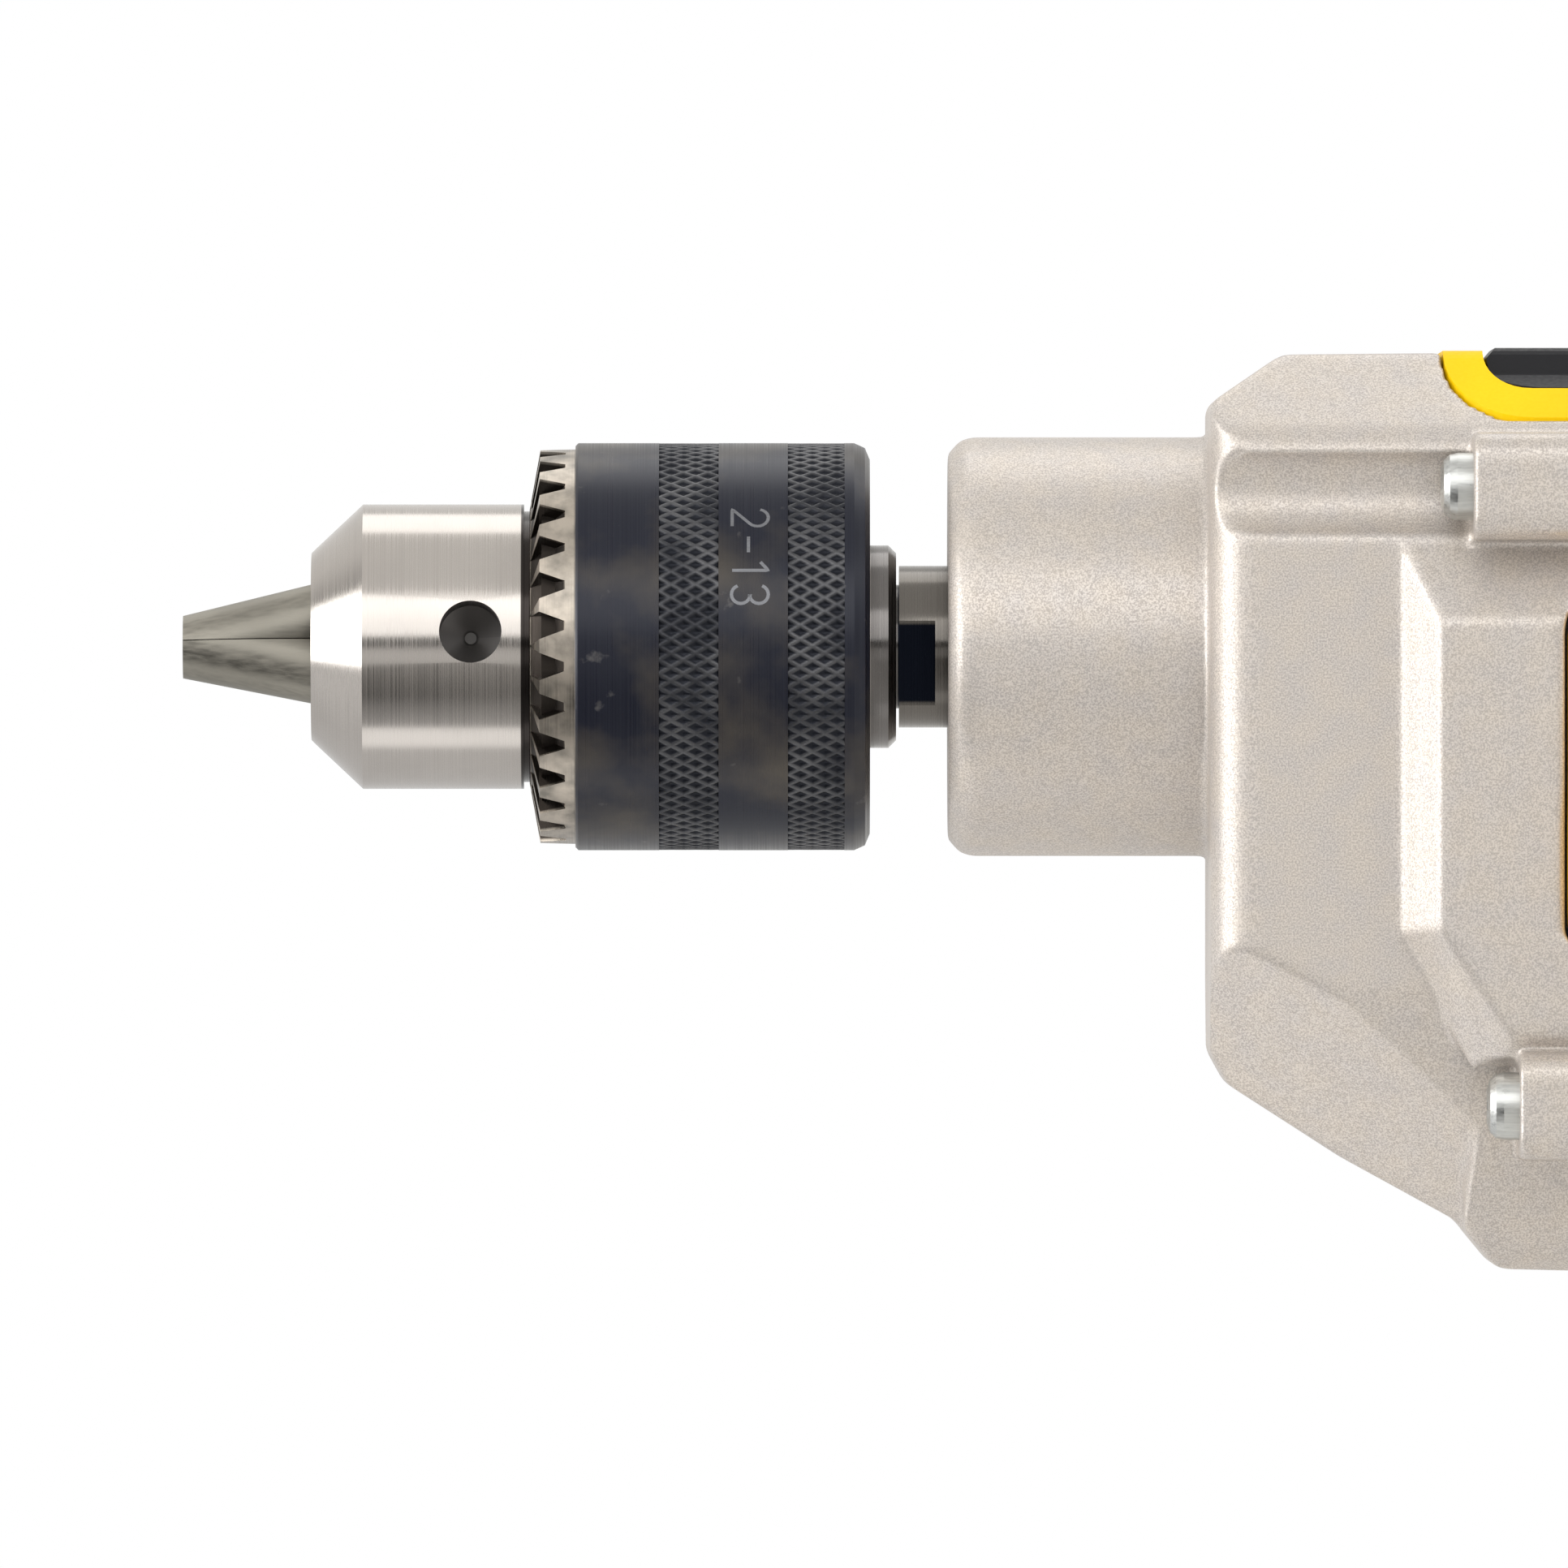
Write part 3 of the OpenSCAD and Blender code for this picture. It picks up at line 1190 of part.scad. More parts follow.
gear_housing();
housing_screws();
dust_seal();
front_bearing();
front_bearing_ring();
spindle();
hammer_spring();
rotating_ratchet();
fixed_ratchet();
spindle_gear();
rear_bracket();
spindle_bush();
chuck_body();
chuck_screw();
chuck_sleeve();
split_nut();
jaw(jaw_turns[0]);  // jaw_1
jaw(jaw_turns[1]);  // jaw_2
jaw(jaw_turns[2]);  // jaw_3
body_left();
body_right();
body_screws();
grip_left();
grip_right();
selector_bezel();
selector_knob();
selector_fork();
stator_core();
field_coils();
armature_shaft();
armature_core();
armature_coils();
commutator();
cooling_fan();
air_baffle();
armature_front_bearing();
armature_rear_bearing();
bearing_boot();
brush_holders();
carbon_brushes();
brush_springs();
trigger();
speed_dial();
trigger_switch();
lock_button();
direction_lever();
cord_gland();
cord_clamp();
clamp_screws();
capacitor();
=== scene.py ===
import json
import math

import bpy
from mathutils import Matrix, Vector


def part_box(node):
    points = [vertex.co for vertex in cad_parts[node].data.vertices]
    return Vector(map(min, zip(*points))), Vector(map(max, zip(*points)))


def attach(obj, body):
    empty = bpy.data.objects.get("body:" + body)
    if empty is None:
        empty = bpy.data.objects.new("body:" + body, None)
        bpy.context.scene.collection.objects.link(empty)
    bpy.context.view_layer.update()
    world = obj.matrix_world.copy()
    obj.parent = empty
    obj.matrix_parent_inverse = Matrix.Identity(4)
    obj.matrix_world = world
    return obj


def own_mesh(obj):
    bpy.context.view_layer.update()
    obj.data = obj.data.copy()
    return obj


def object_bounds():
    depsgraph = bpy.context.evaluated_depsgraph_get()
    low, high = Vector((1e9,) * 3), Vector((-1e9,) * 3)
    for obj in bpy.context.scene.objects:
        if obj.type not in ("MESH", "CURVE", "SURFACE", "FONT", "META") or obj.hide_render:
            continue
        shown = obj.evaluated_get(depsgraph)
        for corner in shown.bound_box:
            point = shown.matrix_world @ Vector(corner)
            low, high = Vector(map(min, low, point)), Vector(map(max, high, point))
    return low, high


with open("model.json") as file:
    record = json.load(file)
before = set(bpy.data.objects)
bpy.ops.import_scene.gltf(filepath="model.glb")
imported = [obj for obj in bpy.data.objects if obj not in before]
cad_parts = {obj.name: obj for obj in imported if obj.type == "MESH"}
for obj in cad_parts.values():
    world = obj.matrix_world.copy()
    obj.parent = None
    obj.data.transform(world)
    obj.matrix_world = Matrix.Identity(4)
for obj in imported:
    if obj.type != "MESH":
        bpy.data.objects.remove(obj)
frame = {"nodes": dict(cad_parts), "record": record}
cad_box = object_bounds()
MM = 0.001

# Places along the spindle axis that the added pieces follow, in metres
SLEEVE_LO, SLEEVE_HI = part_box("chuck_sleeve")
SLEEVE_REAR = SLEEVE_HI[0]
SLEEVE_R = SLEEVE_HI[2]
RING_REAR = SLEEVE_REAR - 30.2 * MM
KEY_HOLES_X = (SLEEVE_REAR - 44.3 * MM, SLEEVE_REAR - 37.5 * MM)
FLOOR_Z = cad_box[0][2]

# Knurl: ridges round the sleeve, their pitch along it and how deep the pits are
KNURL_AROUND, KNURL_PITCH, KNURL_DEPTH = 92, 2.5 * MM, 0.25 * MM

# Light that the room gives to rays that reach none of the lights, at its darkest
ROOM_DARK = 0.16


def linear(value):
    """One 0 to 255 screen value as a linear one."""
    v = value / 255
    return v / 12.92 if v <= 0.04045 else ((v + 0.055) / 1.055) ** 2.4


def screen(red, green, blue):
    """A colour as it is read off a screen, 0 to 255."""
    return (linear(red), linear(green), linear(blue), 1)


def shade(colour, factor):
    """A colour made lighter or darker."""
    return tuple(min(1, c * factor) for c in colour[:3]) + (1,)


class Surface:
    """A node material with one Principled shader, built up by the functions below."""

    def __init__(self, name, metallic=0.0, roughness=0.4, specular=0.5, coat=0.0):
        self.mat = bpy.data.materials.new(name)
        self.mat.use_nodes = True
        self.nodes = self.mat.node_tree.nodes
        self.links = self.mat.node_tree.links
        self.nodes.clear()
        self.out = self.nodes.new("ShaderNodeOutputMaterial")
        self.bsdf = self.nodes.new("ShaderNodeBsdfPrincipled")
        self.links.new(self.bsdf.outputs[0], self.out.inputs[0])
        self.bsdf.inputs["Metallic"].default_value = metallic
        self.bsdf.inputs["Roughness"].default_value = roughness
        self.bsdf.inputs["Specular IOR Level"].default_value = specular
        self.bsdf.inputs["Coat Weight"].default_value = coat
        self.coords = self.nodes.new("ShaderNodeTexCoord").outputs["Object"]
        self.height = None

    def noise(self, scale, detail=2.0, stretch=(1, 1, 1)):
        """Noise on the piece's own coordinates; stretch makes it finer along an axis."""
        mapping = self.nodes.new("ShaderNodeMapping")
        mapping.inputs["Scale"].default_value = stretch
        self.links.new(self.coords, mapping.inputs["Vector"])
        tex = self.nodes.new("ShaderNodeTexNoise")
        tex.inputs["Scale"].default_value = scale
        tex.inputs["Detail"].default_value = detail
        self.links.new(mapping.outputs[0], tex.inputs["Vector"])
        return tex.outputs["Fac"]

    def remap(self, value, low, high, out_low, out_high):
        """Maps low..high to out_low..out_high and stays within them."""
        node = self.nodes.new("ShaderNodeMapRange")
        for key, number in zip(("From Min", "From Max", "To Min", "To Max"),
                               (low, high, out_low, out_high)):
            node.inputs[key].default_value = number
        self.links.new(value, node.inputs["Value"])
        return node.outputs[0]

    def math(self, kind, a, b=0.0):
        """One calculation on sockets or plain numbers."""
        node = self.nodes.new("ShaderNodeMath")
        node.operation = kind
        for socket, item in zip(node.inputs, (a, b)):
            if isinstance(item, (int, float)):
                socket.default_value = item
            else:
                self.links.new(item, socket)
        return node.outputs[0]

    def mix(self, factor, first, second):
        """Mixes two colours, each a socket or a plain colour."""
        node = self.nodes.new("ShaderNodeMix")
        node.data_type = "RGBA"
        for socket, item in zip((node.inputs[0], node.inputs[6], node.inputs[7]),
                                (factor, first, second)):
            if hasattr(item, "is_linked"):
                self.links.new(item, socket)
            else:
                socket.default_value = item
        return node.outputs[2]

    def along(self, axis):
        """Place along one axis."""
        node = self.nodes.new("ShaderNodeSeparateXYZ")
        self.links.new(self.coords, node.inputs[0])
        return node.outputs[axis]

    def radius(self):
        """Distance from the spindle axis."""
        squares = [self.math("MULTIPLY", self.along(axis), self.along(axis)) for axis in "YZ"]
        return self.math("SQRT", self.math("ADD", *squares))

    def recess(self, start, end, depth_r):
        """1 below a radius in a stretch along X, 0 elsewhere."""
        x = self.along("X")
        inside = self.math("MULTIPLY", self.remap(x, start - 0.1 * MM, start, 0, 1),
                           self.remap(x, end, end + 0.1 * MM, 1, 0))
        return self.math("MULTIPLY", inside,
                         self.remap(self.radius(), depth_r - 0.15 * MM, depth_r, 1, 0))

    def colour(self, value):
        self.links.new(value, self.bsdf.inputs["Base Color"])

    def roughness(self, value):
        self.links.new(value, self.bsdf.inputs["Roughness"])

    def brushed_round(self, amount):
        """Highlights spread along X, as turning marks round the spindle axis do."""
        tangent = self.nodes.new("ShaderNodeTangent")
        tangent.direction_type = "RADIAL"
        tangent.axis = "X"
        self.links.new(tangent.outputs[0], self.bsdf.inputs["Tangent"])
        self.bsdf.inputs["Anisotropic"].default_value = amount
        self.bsdf.inputs["Anisotropic Rotation"].default_value = 0.25

    def relief(self, value, depth):
        """Adds a height map; depth is in metres."""
        bump = self.nodes.new("ShaderNodeBump")
        bump.inputs["Distance"].default_value = depth
        bump.inputs["Strength"].default_value = 1.0
        self.links.new(value, bump.inputs["Height"])
        if self.height is not None:
            self.links.new(self.height, bump.inputs["Normal"])
        self.height = bump.outputs[0]
        self.links.new(self.height, self.bsdf.inputs["Normal"])


def cast_metal():
    """Champagne metallic paint: fine light and dark flakes, soft mottling."""
    s = Surface("cast_metal", metallic=0.45, roughness=0.4)
    base = screen(189, 182, 174)
    flakes = s.noise(5600, detail=1.0)
    mottle = s.noise(300, detail=3.0)
    tone = s.mix(s.remap(flakes, 0.38, 0.62, 0, 1), screen(148, 140, 133), shade(base, 1.36))
    warm = s.mix(s.remap(mottle, 0.35, 0.65, 0, 1), screen(193, 184, 174), screen(184, 178, 174))
    s.colour(s.mix(0.45, warm, tone))
    s.roughness(s.remap(flakes, 0.3, 0.7, 0.5, 0.32))
    s.relief(s.noise(3800, detail=2.0), 0.012 * MM)
    return s.mat


def turned_steel(name, colour, roughness=0.26, recesses=()):
    """Steel with fine lines round the spindle axis. The recesses given are darkened in colour,
    with painted shade, painted reflection or darker tone as the caller lists, and the first ones,
    which a drill cut, are also less bare and less smooth."""
    s = Surface(name, metallic=1.0, roughness=roughness)
    lines = s.noise(1, detail=3.0, stretch=(9000, 12, 12))
    wear = s.noise(160, detail=3.0)
    tone = s.mix(s.remap(lines, 0.3, 0.7, 0, 1), shade(colour, 0.92), shade(colour, 1.05))
    tone = s.mix(s.remap(wear, 0.45, 0.75, 0, 0.35), tone, shade(colour, 0.8))
    # lays in each recess's darker colour: painted shade, painted reflection or darker tone, as
    # the caller's table says
    for start, end, depth_r, dark in recesses:
        tone = s.mix(s.recess(start, end, depth_r), tone, dark)
    rough = s.remap(lines, 0.3, 0.7, roughness - 0.06, roughness + 0.1)
    if recesses:
        sunk = s.recess(*recesses[0][:3])
        bare = s.math("SUBTRACT", 1, s.math("MULTIPLY", sunk, 0.25))
        s.links.new(bare, s.bsdf.inputs["Metallic"])
        rough = s.math("ADD", rough, s.math("MULTIPLY", sunk, 0.16))
    s.colour(tone)
    s.roughness(rough)
    s.brushed_round(0.75)
    s.relief(lines, 0.003 * MM)
    return s.mat


def ground_steel(name, colour, roughness=0.34, scale=700, marks_depth=0.01):
    """Steel with short grinding marks and slight stains."""
    s = Surface(name, metallic=1.0, roughness=roughness)
    marks = s.noise(scale, detail=3.0, stretch=(0.35, 3, 3))
    stain = s.noise(120, detail=2.0)
    tone = s.mix(s.remap(marks, 0.3, 0.7, 0, 1), shade(colour, 0.8), shade(colour, 1.12))
    s.colour(s.mix(s.remap(stain, 0.4, 0.7, 0, 0.4), tone, shade(colour, 0.66)))
    s.roughness(s.remap(marks, 0.3, 0.7, roughness - 0.05, roughness + 0.12))
    s.relief(marks, marks_depth * MM)
    return s.mat


def sleeve_metal():
    """Black oxide on the sleeve, bare worn steel on the toothed ring in front of it, and painted
    shade inside the ring's slots.
    """
    s = Surface("sleeve_metal", roughness=0.28, specular=0.4)
    lines = s.noise(1, detail=2.0, stretch=(7000, 10, 10))
    scuffs = s.noise(420, detail=4.0)
    clouds = s.noise(90, detail=4.0)
    black = s.mix(s.remap(lines, 0.3, 0.7, 0, 1), screen(11, 14, 30), screen(22, 25, 37))
    black = s.mix(s.remap(clouds, 0.45, 0.7, 0, 1), black, screen(62, 57, 51))
    black = s.mix(s.remap(scuffs, 0.68, 0.8, 0, 0.4), black, screen(124, 121, 117))
    steel = s.mix(s.remap(scuffs, 0.35, 0.7, 0, 1), screen(190, 180, 167), screen(130, 125, 117))
    # Painted shade: inside the slots between the ring's teeth the steel is darkened
    ring_r = s.remap(s.along("X"), RING_REAR - 4.7 * MM, RING_REAR - 3.6 * MM,
                     SLEEVE_R - 6.8 * MM, SLEEVE_R - 0.7 * MM)
    slot = s.remap(s.math("SUBTRACT", ring_r, s.radius()), 0.1 * MM, 0.35 * MM, 0, 1)
    steel = s.mix(slot, steel, screen(62, 57, 53))
    on_ring = s.remap(s.along("X"), RING_REAR - 0.1 * MM, RING_REAR + 0.1 * MM, 1, 0)
    s.colour(s.mix(on_ring, black, steel))
    s.links.new(s.remap(on_ring, 0, 1, 0.2, 1), s.bsdf.inputs["Metallic"])
    s.roughness(s.remap(lines, 0.3, 0.7, 0.27, 0.38))
    s.relief(lines, 0.004 * MM)
    return s.mat


def knurled_metal():
    """Black oxide, rubbed grey along the crests of the knurl."""
    s = Surface("knurled_metal", metallic=0.6, roughness=0.34, specular=0.3)
    crest = s.remap(s.radius(), SLEEVE_R - 0.16 * MM, SLEEVE_R - 0.02 * MM, 0, 1)
    patches = s.remap(s.noise(180, detail=3.0), 0.4, 0.65, 0.25, 1)
    s.colour(s.mix(s.math("MULTIPLY", crest, patches), screen(26, 28, 35), screen(88, 88, 90)))
    s.roughness(s.remap(s.noise(900), 0.3, 0.7, 0.3, 0.42))
    return s.mat


def plastic(name, colour, roughness=0.42, grain=2200, depth=0.02, coat=0.0, specular=0.5):
    """Moulded plastic with a fine spark-eroded grain."""
    s = Surface(name, roughness=roughness, coat=coat, specular=specular)
    cloud = s.noise(60, detail=3.0)
    fine = s.noise(grain, detail=1.0)
    tone = s.mix(s.remap(cloud, 0.35, 0.65, 0, 1), shade(colour, 0.95), shade(colour, 1.04))
    s.colour(s.mix(s.remap(fine, 0.3, 0.7, 0, 0.25), tone, shade(colour, 0.86)))
    s.roughness(s.remap(fine, 0.3, 0.7, roughness - 0.05, roughness + 0.08))
    s.relief(fine, depth * MM)
    return s.mat


def rubber(name):
    """Matt overmould with a pebbled grain."""
    s = Surface(name, roughness=0.72, specular=0.35)
    cells = s.nodes.new("ShaderNodeTexVoronoi")
    cells.inputs["Scale"].default_value = 900
    s.links.new(s.coords, cells.inputs["Vector"])
    cloud = s.noise(50, detail=3.0)
    s.colour(s.mix(s.remap(cloud, 0.35, 0.65, 0, 1), screen(30, 30, 32), screen(44, 44, 46)))
    s.roughness(s.remap(cells.outputs["Distance"], 0, 0.8, 0.82, 0.62))
    s.relief(cells.outputs["Distance"], 0.06 * MM)
    return s.mat


def laminated(name):
    """Iron sheets stacked along the shaft."""
    s = Surface(name, metallic=0.8, roughness=0.45)
    sheets = s.noise(1, detail=0.0, stretch=(2000, 0, 0))
    s.colour(s.mix(s.remap(sheets, 0.4, 0.6, 0, 1), screen(92, 94, 98), screen(150, 150, 150)))
    s.relief(sheets, 0.05 * MM)
    return s.mat


def wound(name, colour):
    """Varnished copper wire, laid along the slots."""
    s = Surface(name, metallic=0.6, roughness=0.3, coat=0.5)
    strands = s.noise(1, detail=1.0, stretch=(60, 1600, 1600))
    s.colour(s.mix(s.remap(strands, 0.35, 0.65, 0, 1), shade(colour, 0.6), shade(colour, 1.25)))
    s.relief(strands, 0.12 * MM)
    return s.mat


# Darker steel along the spindle axis: painted shade and oil in the key holes, painted shade at
# their tips and in the groove behind the nose, darker steel on the hub and the spindle, and a
# painted dark reflection on its wrench flats:
# start, end, radius below which it is dark, colour
BRIGHT_PAINTED_SHADE_AND_TONE = (
    # painted shade and oil in the key holes
    (*KEY_HOLES_X, 14.45 * MM, screen(122, 119, 117)),
    # painted shade, darker towards the key holes' tips
    (*KEY_HOLES_X, 8.0 * MM, screen(78, 76, 74)),
    # painted shade in the groove behind the nose
    (SLEEVE_REAR - 35.7 * MM, SLEEVE_REAR - 34.9 * MM, 14.9 * MM, screen(54, 50, 48)),
    (SLEEVE_REAR + 0.1 * MM, SLEEVE_REAR + 2.8 * MM, 11.0 * MM, screen(120, 117, 115)),
    (SLEEVE_REAR + 2.9 * MM, SLEEVE_REAR + 9.0 * MM, 9.0 * MM, screen(112, 108, 103)),
    # painted dark reflection on the wrench flats, which face forward
    (SLEEVE_REAR + 2.9 * MM, SLEEVE_REAR + 6.8 * MM, 8.2 * MM, screen(24, 28, 38)),
)

MATERIALS = {
    "cast_metal": cast_metal(),
    "bright_steel": turned_steel("bright_steel", screen(190, 184, 178), 0.22, BRIGHT_PAINTED_SHADE_AND_TONE),
    "jaw_steel": ground_steel("jaw_steel", screen(148, 144, 134), 0.42, 900, 0.003),
    "black_steel": sleeve_metal(),
    "screw_zinc": ground_steel("screw_zinc", screen(206, 207, 204), 0.32, 1200),
    "screw_black": ground_steel("screw_black", screen(70, 71, 74), 0.35, 1200),
    "hardened_steel": ground_steel("hardened_steel", screen(150, 152, 155)),
    "bearing_steel": turned_steel("bearing_steel", screen(190, 192, 194), 0.2),
    "spring_steel": ground_steel("spring_steel", screen(140, 143, 148), 0.3, 1500),
    "bracket_alloy": ground_steel("bracket_alloy", screen(176, 178, 180), 0.5, 300),
    "bronze": turned_steel("bronze", screen(184, 150, 104), 0.35),
    "brass": ground_steel("brass", screen(214, 184, 112), 0.3),
    "copper": turned_steel("copper", screen(206, 136, 96), 0.28),
    "enamel_wire": wound("enamel_wire", screen(176, 98, 52)),
    "laminations": laminated("laminations"),
    "carbon": plastic("carbon", screen(46, 46, 48), 0.55, 1400, 0.03),
    "yellow_plastic": plastic("yellow_plastic", screen(244, 188, 12), 0.42, 2400, 0.015),
    "bright_yellow": plastic("bright_yellow", screen(240, 196, 0), 0.45, 2800, 0.006, 0, 0.1),
    "black_plastic": plastic("black_plastic", screen(17, 17, 21), 0.4, 2000, 0.012, 0, 0.25),
    "soft_grip": rubber("soft_grip"),
    "capacitor_film": plastic("capacitor_film", screen(206, 178, 60), 0.25, 1200, 0.01, 0.3),
}
# For pieces that the scene adds, and for the nut that shows through the toothed ring's slots
KNURLED = knurled_metal()
# the split nut's steel is painted as dark as the shade inside the toothed ring's slots
SLOT_SHADE_STEEL = ground_steel("nut_steel_painted_shade", screen(62, 57, 53), 0.5)
ENGRAVED = ground_steel("engraved", screen(128, 129, 133), 0.45, 2500)


def weld(obj):
    """Joins the corners that the import left apart."""
    mod = obj.modifiers.new("weld", "WELD")
    mod.merge_threshold = 0.002 * MM


def cast_edges(obj, voxel, passes):
    """Rounds every edge a little, as a casting or a moulding has them."""
    weld(obj)
    mod = obj.modifiers.new("remesh", "REMESH")
    mod.mode = "VOXEL"
    mod.voxel_size = voxel * MM
    mod.use_smooth_shade = True
    mod = obj.modifiers.new("soften", "SMOOTH")
    mod.factor = 0.5
    mod.iterations = passes


def ease_rim(obj, width, inset):
    """Rounds a button's rim and leaves room round it in its hole."""
    weld(obj)
    mod = obj.modifiers.new("rim", "BEVEL")
    mod.width, mod.segments = width * MM, 3
    mod = obj.modifiers.new("inset", "DISPLACE")
    mod.strength, mod.mid_level = -inset * MM, 0


def dress_nodes():
    """Gives each CAD node the material of its slot."""
    slots = {row["node"]: row["material_slot"] for row in frame["record"]["subparts"]}
    for name, obj in frame["nodes"].items():
        # the split nut, seen only through the ring's slots, gets steel painted dark as the shade
        # in them
        mat = SLOT_SHADE_STEEL if name == "split_nut" else MATERIALS[slots[name]]
        if not obj.material_slots:
            obj.data.materials.append(mat)
        for item in obj.material_slots:
            item.material = mat


def mesh_piece(name, points, faces, mat, body):
    """Adds a piece made of points and faces, which rides on a body."""
    mesh = bpy.data.meshes.new(name)
    mesh.from_pydata(points, [], faces)
    mesh.update()
    mesh.polygons.foreach_set("use_smooth", [True] * len(mesh.polygons))
    obj = bpy.data.objects.new(name, mesh)
    bpy.context.scene.collection.objects.link(obj)
    obj.data.materials.append(mat)
    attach(obj, body)
    return obj


def knurl_band(name, start, end):
    """Diamond knurl: two sets of crossed helical ridges with pits between them."""
    along = (end - start) / KNURL_PITCH
    steps_round, steps_long = KNURL_AROUND * 8, round(along * 16)

    def height(u, v):
        a = abs(((u + v) % 1) - 0.5) * 2
        b = abs(((u - v) % 1) - 0.5) * 2
        return min(1, max(0, (max(a, b) - 0.3) / 0.5))

    points = []
    for i in range(steps_long + 1):
        t = i / steps_long
        for j in range(steps_round):
            angle = 2 * math.pi * j / steps_round
            sunk = 1 - height(t * along, j / steps_round * KNURL_AROUND)
            radius = SLEEVE_R - 0.02 * MM - KNURL_DEPTH * sunk
            points.append((start + (end - start) * t, radius * math.cos(angle),
                           radius * math.sin(angle)))
    faces = []
    for i in range(steps_long):
        for j in range(steps_round):
            a, b = i * steps_round + j, i * steps_round + (j + 1) % steps_round
            faces.append((a, b, b + steps_round, a + steps_round))
    mesh_piece(name, points, faces, KNURLED, "chuck_sleeve")


def arc(cx, cy, r, start, end, steps=14):
    """Points along an arc, angles in degrees."""
    return [(cx + r * math.cos(math.radians(start + (end - start) * i / steps)),
             cy + r * math.sin(math.radians(start + (end - start) * i / steps)))
            for i in range(steps + 1)]


def engraved_size():
    """Plain numbers for the jaws' capacity, one stroke wide, running round the sleeve."""
    strokes = [
        (0.0, arc(0.3, 0.7, 0.3, 165, -45) + [(0.0, 0.0), (0.6, 0.0)]),
        (0.95, [(0.0, 0.45), (0.5, 0.45)]),
        (1.75, [(0.0, 0.78), (0.25, 1.0), (0.25, 0.0)]),
        (2.4, arc(0.3, 0.74, 0.26, 160, -90) + arc(0.3, 0.24, 0.26, 90, -160)),
    ]
    height, width, step = 3.7 * MM, 0.34 * MM, 0.2 * MM
    left_x, first_angle, radius = SLEEVE_REAR - 14.1 * MM, 42, SLEEVE_R + 0.012 * MM
    points, faces = [], []
    for offset, line in strokes:
        dense = []
        for a, b in zip(line, line[1:]):
            count = max(1, round(math.dist(a, b) * height / step))
            dense += [(a[0] + (b[0] - a[0]) * i / count, a[1] + (b[1] - a[1]) * i / count)
                      for i in range(count)]
        dense.append(line[-1])
        for i, (u, v) in enumerate(dense):
            p, q = dense[max(0, i - 1)], dense[min(len(dense) - 1, i + 1)]
            du, dv = q[0] - p[0], q[1] - p[1]
            norm = math.hypot(du, dv)
            for side in (-1, 1):
                along = (u + offset) * height - side * dv / norm * width / 2
                up = v * height + side * du / norm * width / 2
                angle = math.radians(first_angle) - along / radius
                points.append((left_x + up, -radius * math.cos(angle), radius * math.sin(angle)))
            if i:
                n = len(points)
                faces.append((n - 4, n - 3, n - 1, n - 2))
    mesh_piece("sleeve_numbers", points, faces, ENGRAVED, "chuck_sleeve")


def make_floor():
    """White sweep: bright to the camera, matt to light, a card with a dark strip to mirrors."""
    size = 8
    mesh = bpy.data.meshes.new("floor")
    mesh.from_pydata([(-size, -size, FLOOR_Z), (size, -size, FLOOR_Z), (size, size, FLOOR_Z),
                      (-size, size, FLOOR_Z)], [], [(0, 1, 2, 3)])
    floor = bpy.data.objects.new("floor", mesh)
    bpy.context.scene.collection.objects.link(floor)
    s = Surface("floor", roughness=0.9, specular=0.1)
    s.colour(s.mix(s.remap(s.noise(3), 0.3, 0.7, 0, 1), (0.86, 0.86, 0.86, 1),
                   (0.9, 0.9, 0.9, 1)))
    white = s.nodes.new("ShaderNodeEmission")
    white.inputs["Color"].default_value = (1, 1, 1, 1)
    # In reflections the white sweep has a dark strip in front of the drill, as a studio's card
    card = s.nodes.new("ShaderNodeEmission")
    strip = s.nodes.new("ShaderNodeValToRGB")
    card.inputs["Strength"].default_value = 1.5
    stops = ((-0.76, 0.5), (-0.62, 0.06), (-0.22, 0.06), (-0.12, 0.26), (-0.085, 0.32),
             (-0.07, 1.0), (-0.02, 1.0), (0.0, 0.53), (0.3, 0.5))
    s.links.new(s.remap(s.along("Y"), -1, 1, 0, 1), strip.inputs["Fac"])
    for i, (y, level) in enumerate(stops):
        stop = (strip.color_ramp.elements[i] if i < 2
                else strip.color_ramp.elements.new((y + 1) / 2))
        stop.position = (y + 1) / 2
        stop.color = (level, level, level, 1)
    s.links.new(s.mix(s.remap(s.along("X"), -0.05, -0.03, 0, 1), strip.outputs["Color"],
                      (0.6, 0.59, 0.57, 1)), card.inputs["Color"])
    rays = s.nodes.new("ShaderNodeLightPath")
    mirrored = s.nodes.new("ShaderNodeMixShader")
    s.links.new(rays.outputs["Is Glossy Ray"], mirrored.inputs[0])
    s.links.new(s.bsdf.outputs[0], mirrored.inputs[1])
    s.links.new(card.outputs[0], mirrored.inputs[2])
    blend = s.nodes.new("ShaderNodeMixShader")
    s.links.new(rays.outputs["Is Camera Ray"], blend.inputs[0])
    s.links.new(mirrored.outputs[0], blend.inputs[1])
    s.links.new(white.outputs[0], blend.inputs[2])
    s.links.new(blend.outputs[0], s.out.inputs[0])
    floor.data.materials.append(s.mat)


def area_light(name, place, aim, size, power):
    """A soft box at a place, turned towards its aim."""
    light = bpy.data.lights.new(name, "AREA")
    light.shape = "RECTANGLE"
    light.size, light.size_y = size
    light.energy = power
    obj = bpy.data.objects.new(name, light)
    bpy.context.scene.collection.objects.link(obj)
    obj.location = place
    obj.rotation_mode = "QUATERNION"
    obj.rotation_quaternion = (Vector(aim) - Vector(place)).to_track_quat("-Z", "Y")


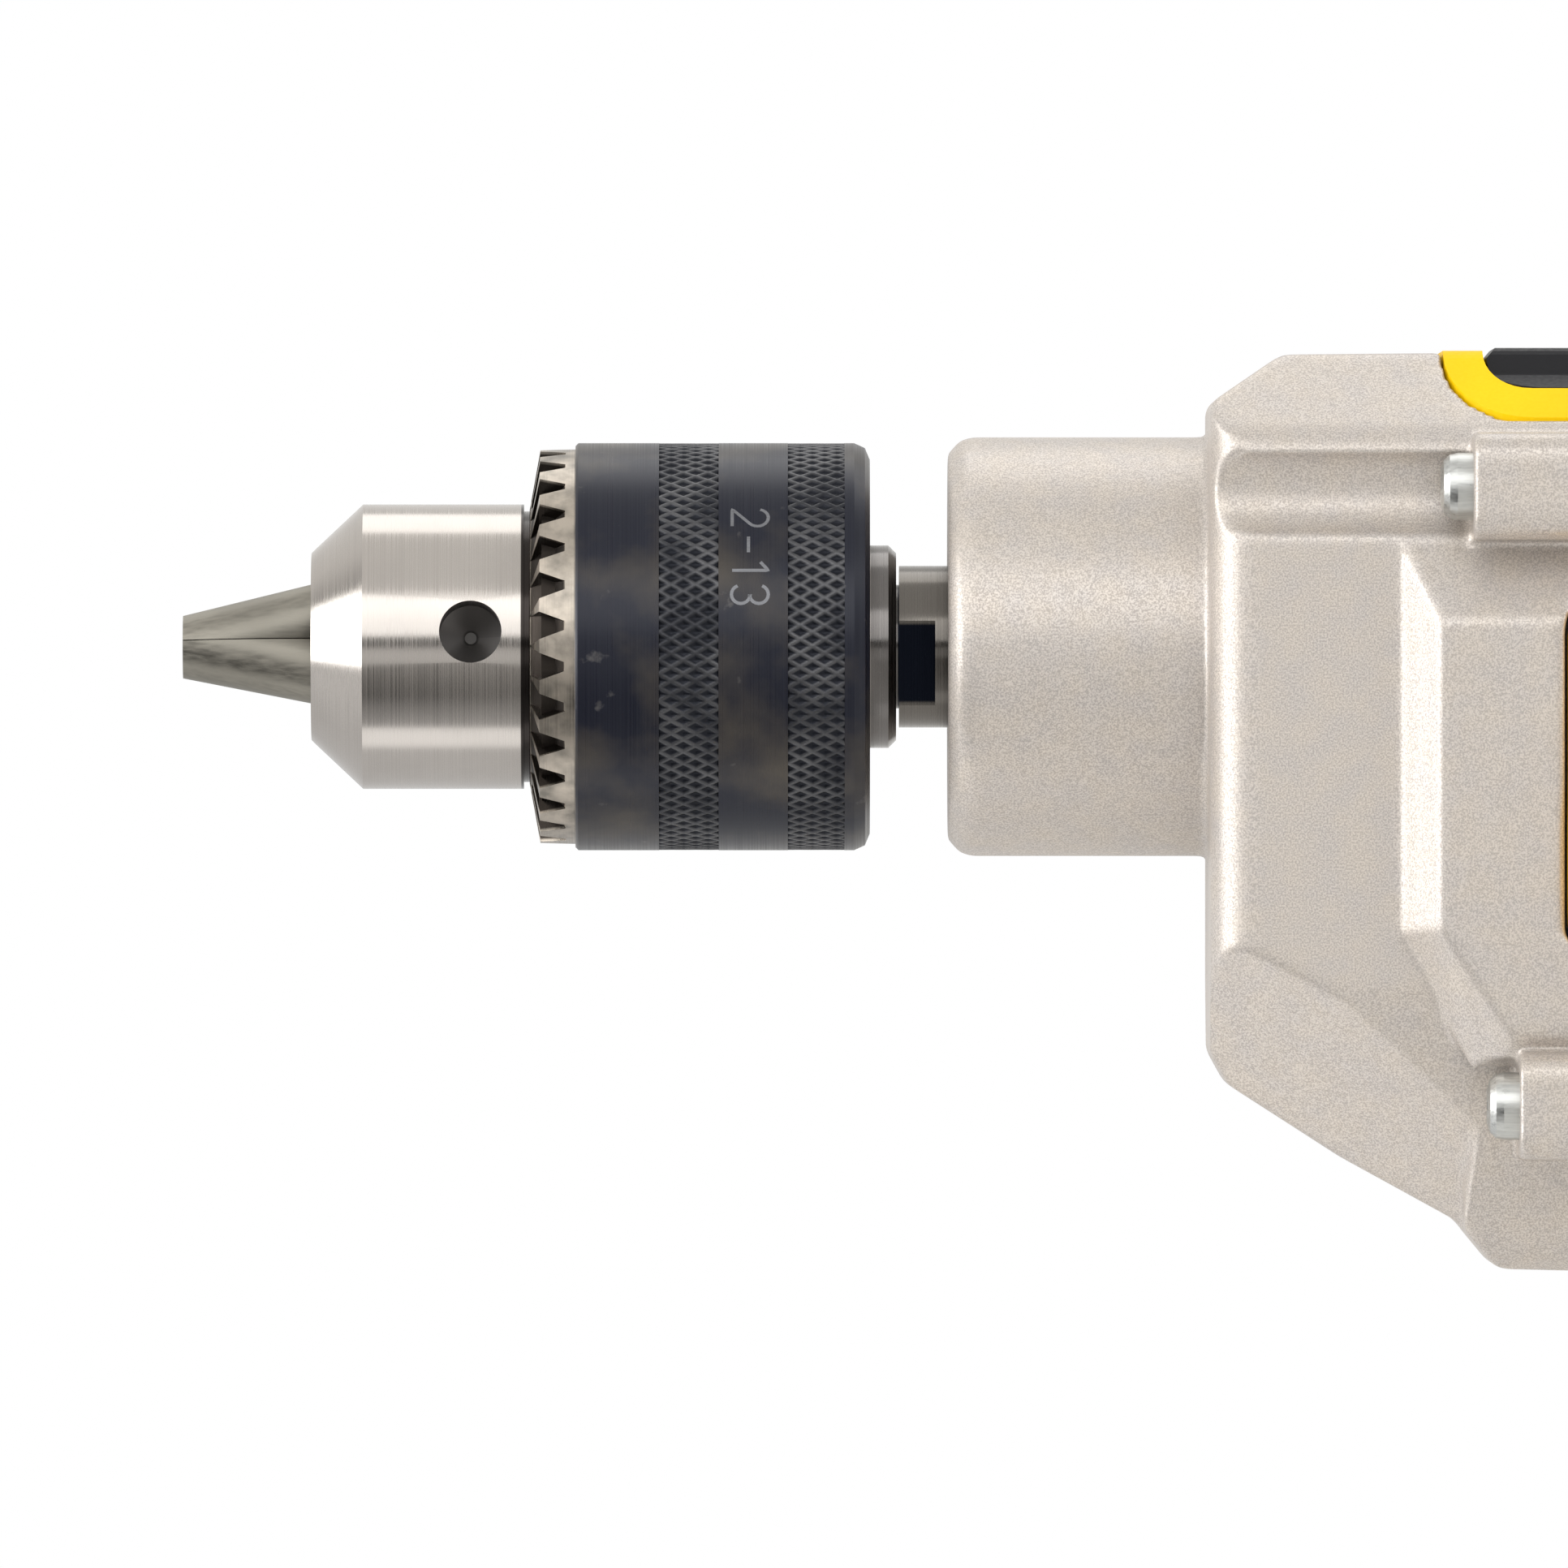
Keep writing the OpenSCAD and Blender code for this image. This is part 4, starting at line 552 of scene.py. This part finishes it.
def make_lights():
    aim = (0.0, 0, -0.03)
    area_light("key", (-0.3, -1.4, 0.68), aim, (2.6, 1.0), 15)
    area_light("left", (-1.25, -0.3, 0.16), aim, (0.9, 0.8), 12)
    area_light("right", (1.4, -0.5, 0.6), aim, (1.0, 1.0), 6)
    area_light("back", (0.2, 0.7, 1.3), aim, (1.6, 0.8), 5)
    world = bpy.data.worlds.new("studio")
    bpy.context.scene.world = world
    world.use_nodes = True
    nodes, links = world.node_tree.nodes, world.node_tree.links
    nodes.clear()
    out = nodes.new("ShaderNodeOutputWorld")
    seen, fill, blend = (nodes.new("ShaderNodeBackground"), nodes.new("ShaderNodeBackground"),
                         nodes.new("ShaderNodeMixShader"))
    seen.inputs["Color"].default_value = (1, 1, 1, 1)
    fill.inputs["Color"].default_value = (1, 0.99, 0.97, 1)
    # The room is lighter overhead, behind and at both ends than in front
    place = nodes.new("ShaderNodeTexCoord")
    axes = nodes.new("ShaderNodeSeparateXYZ")
    links.new(place.outputs["Generated"], axes.inputs[0])
    ends = nodes.new("ShaderNodeMath")
    ends.operation = "ABSOLUTE"
    links.new(axes.outputs[0], ends.inputs[0])
    levels = []
    for value, low, high, top in ((axes.outputs[2], 0.3, 0.75, 0.9),
                                  (axes.outputs[1], 0.0, 0.4, 0.9),
                                  (ends.outputs[0], 0.5, 0.85, 0.45)):
        ramp = nodes.new("ShaderNodeMapRange")
        for key, number in zip(("From Min", "From Max", "To Min", "To Max"),
                               (low, high, ROOM_DARK, top)):
            ramp.inputs[key].default_value = number
        links.new(value, ramp.inputs["Value"])
        levels.append(ramp.outputs[0])
    strongest = levels[0]
    for level in levels[1:]:
        pick = nodes.new("ShaderNodeMath")
        pick.operation = "MAXIMUM"
        links.new(strongest, pick.inputs[0])
        links.new(level, pick.inputs[1])
        strongest = pick.outputs[0]
    links.new(strongest, fill.inputs["Strength"])
    rays = nodes.new("ShaderNodeLightPath")
    links.new(rays.outputs["Is Camera Ray"], blend.inputs[0])
    links.new(fill.outputs[0], blend.inputs[1])
    links.new(seen.outputs[0], blend.inputs[2])
    links.new(blend.outputs[0], out.inputs[0])


def make_camera():
    """Side view; the photo's frame is 161 mm wide and its centre 43.5 mm from the origin."""
    frame_width, distance, sensor = 161.0 * MM, 4.0, 36
    centre_x, centre_z = -43.5 * MM, -14.1 * MM
    cam = bpy.data.cameras.new("camera")
    cam.sensor_width = sensor
    cam.lens = sensor * distance / frame_width
    cam.clip_start, cam.clip_end = 0.1, 40
    obj = bpy.data.objects.new("camera", cam)
    bpy.context.scene.collection.objects.link(obj)
    obj.location = (centre_x, -distance, centre_z)
    obj.rotation_euler = (math.pi / 2, 0, 0)
    bpy.context.scene.camera = obj


make_camera()
make_lights()
make_floor()
dress_nodes()
cast_edges(frame["nodes"]["gear_housing"], 0.45, 5)
for side in ("body_left", "body_right"):
    cast_edges(frame["nodes"][side], 0.8, 4)
ease_rim(frame["nodes"]["lock_button"], 0.6, 0.15)
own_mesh(frame["nodes"]["hammer_spring"])
knurl_band("knurl_front", SLEEVE_REAR - 21.6 * MM, SLEEVE_REAR - 15.5 * MM)
knurl_band("knurl_rear", SLEEVE_REAR - 8.4 * MM, SLEEVE_REAR - 2.6 * MM)
engraved_size()

bpy.context.scene.view_settings.view_transform = "Standard"
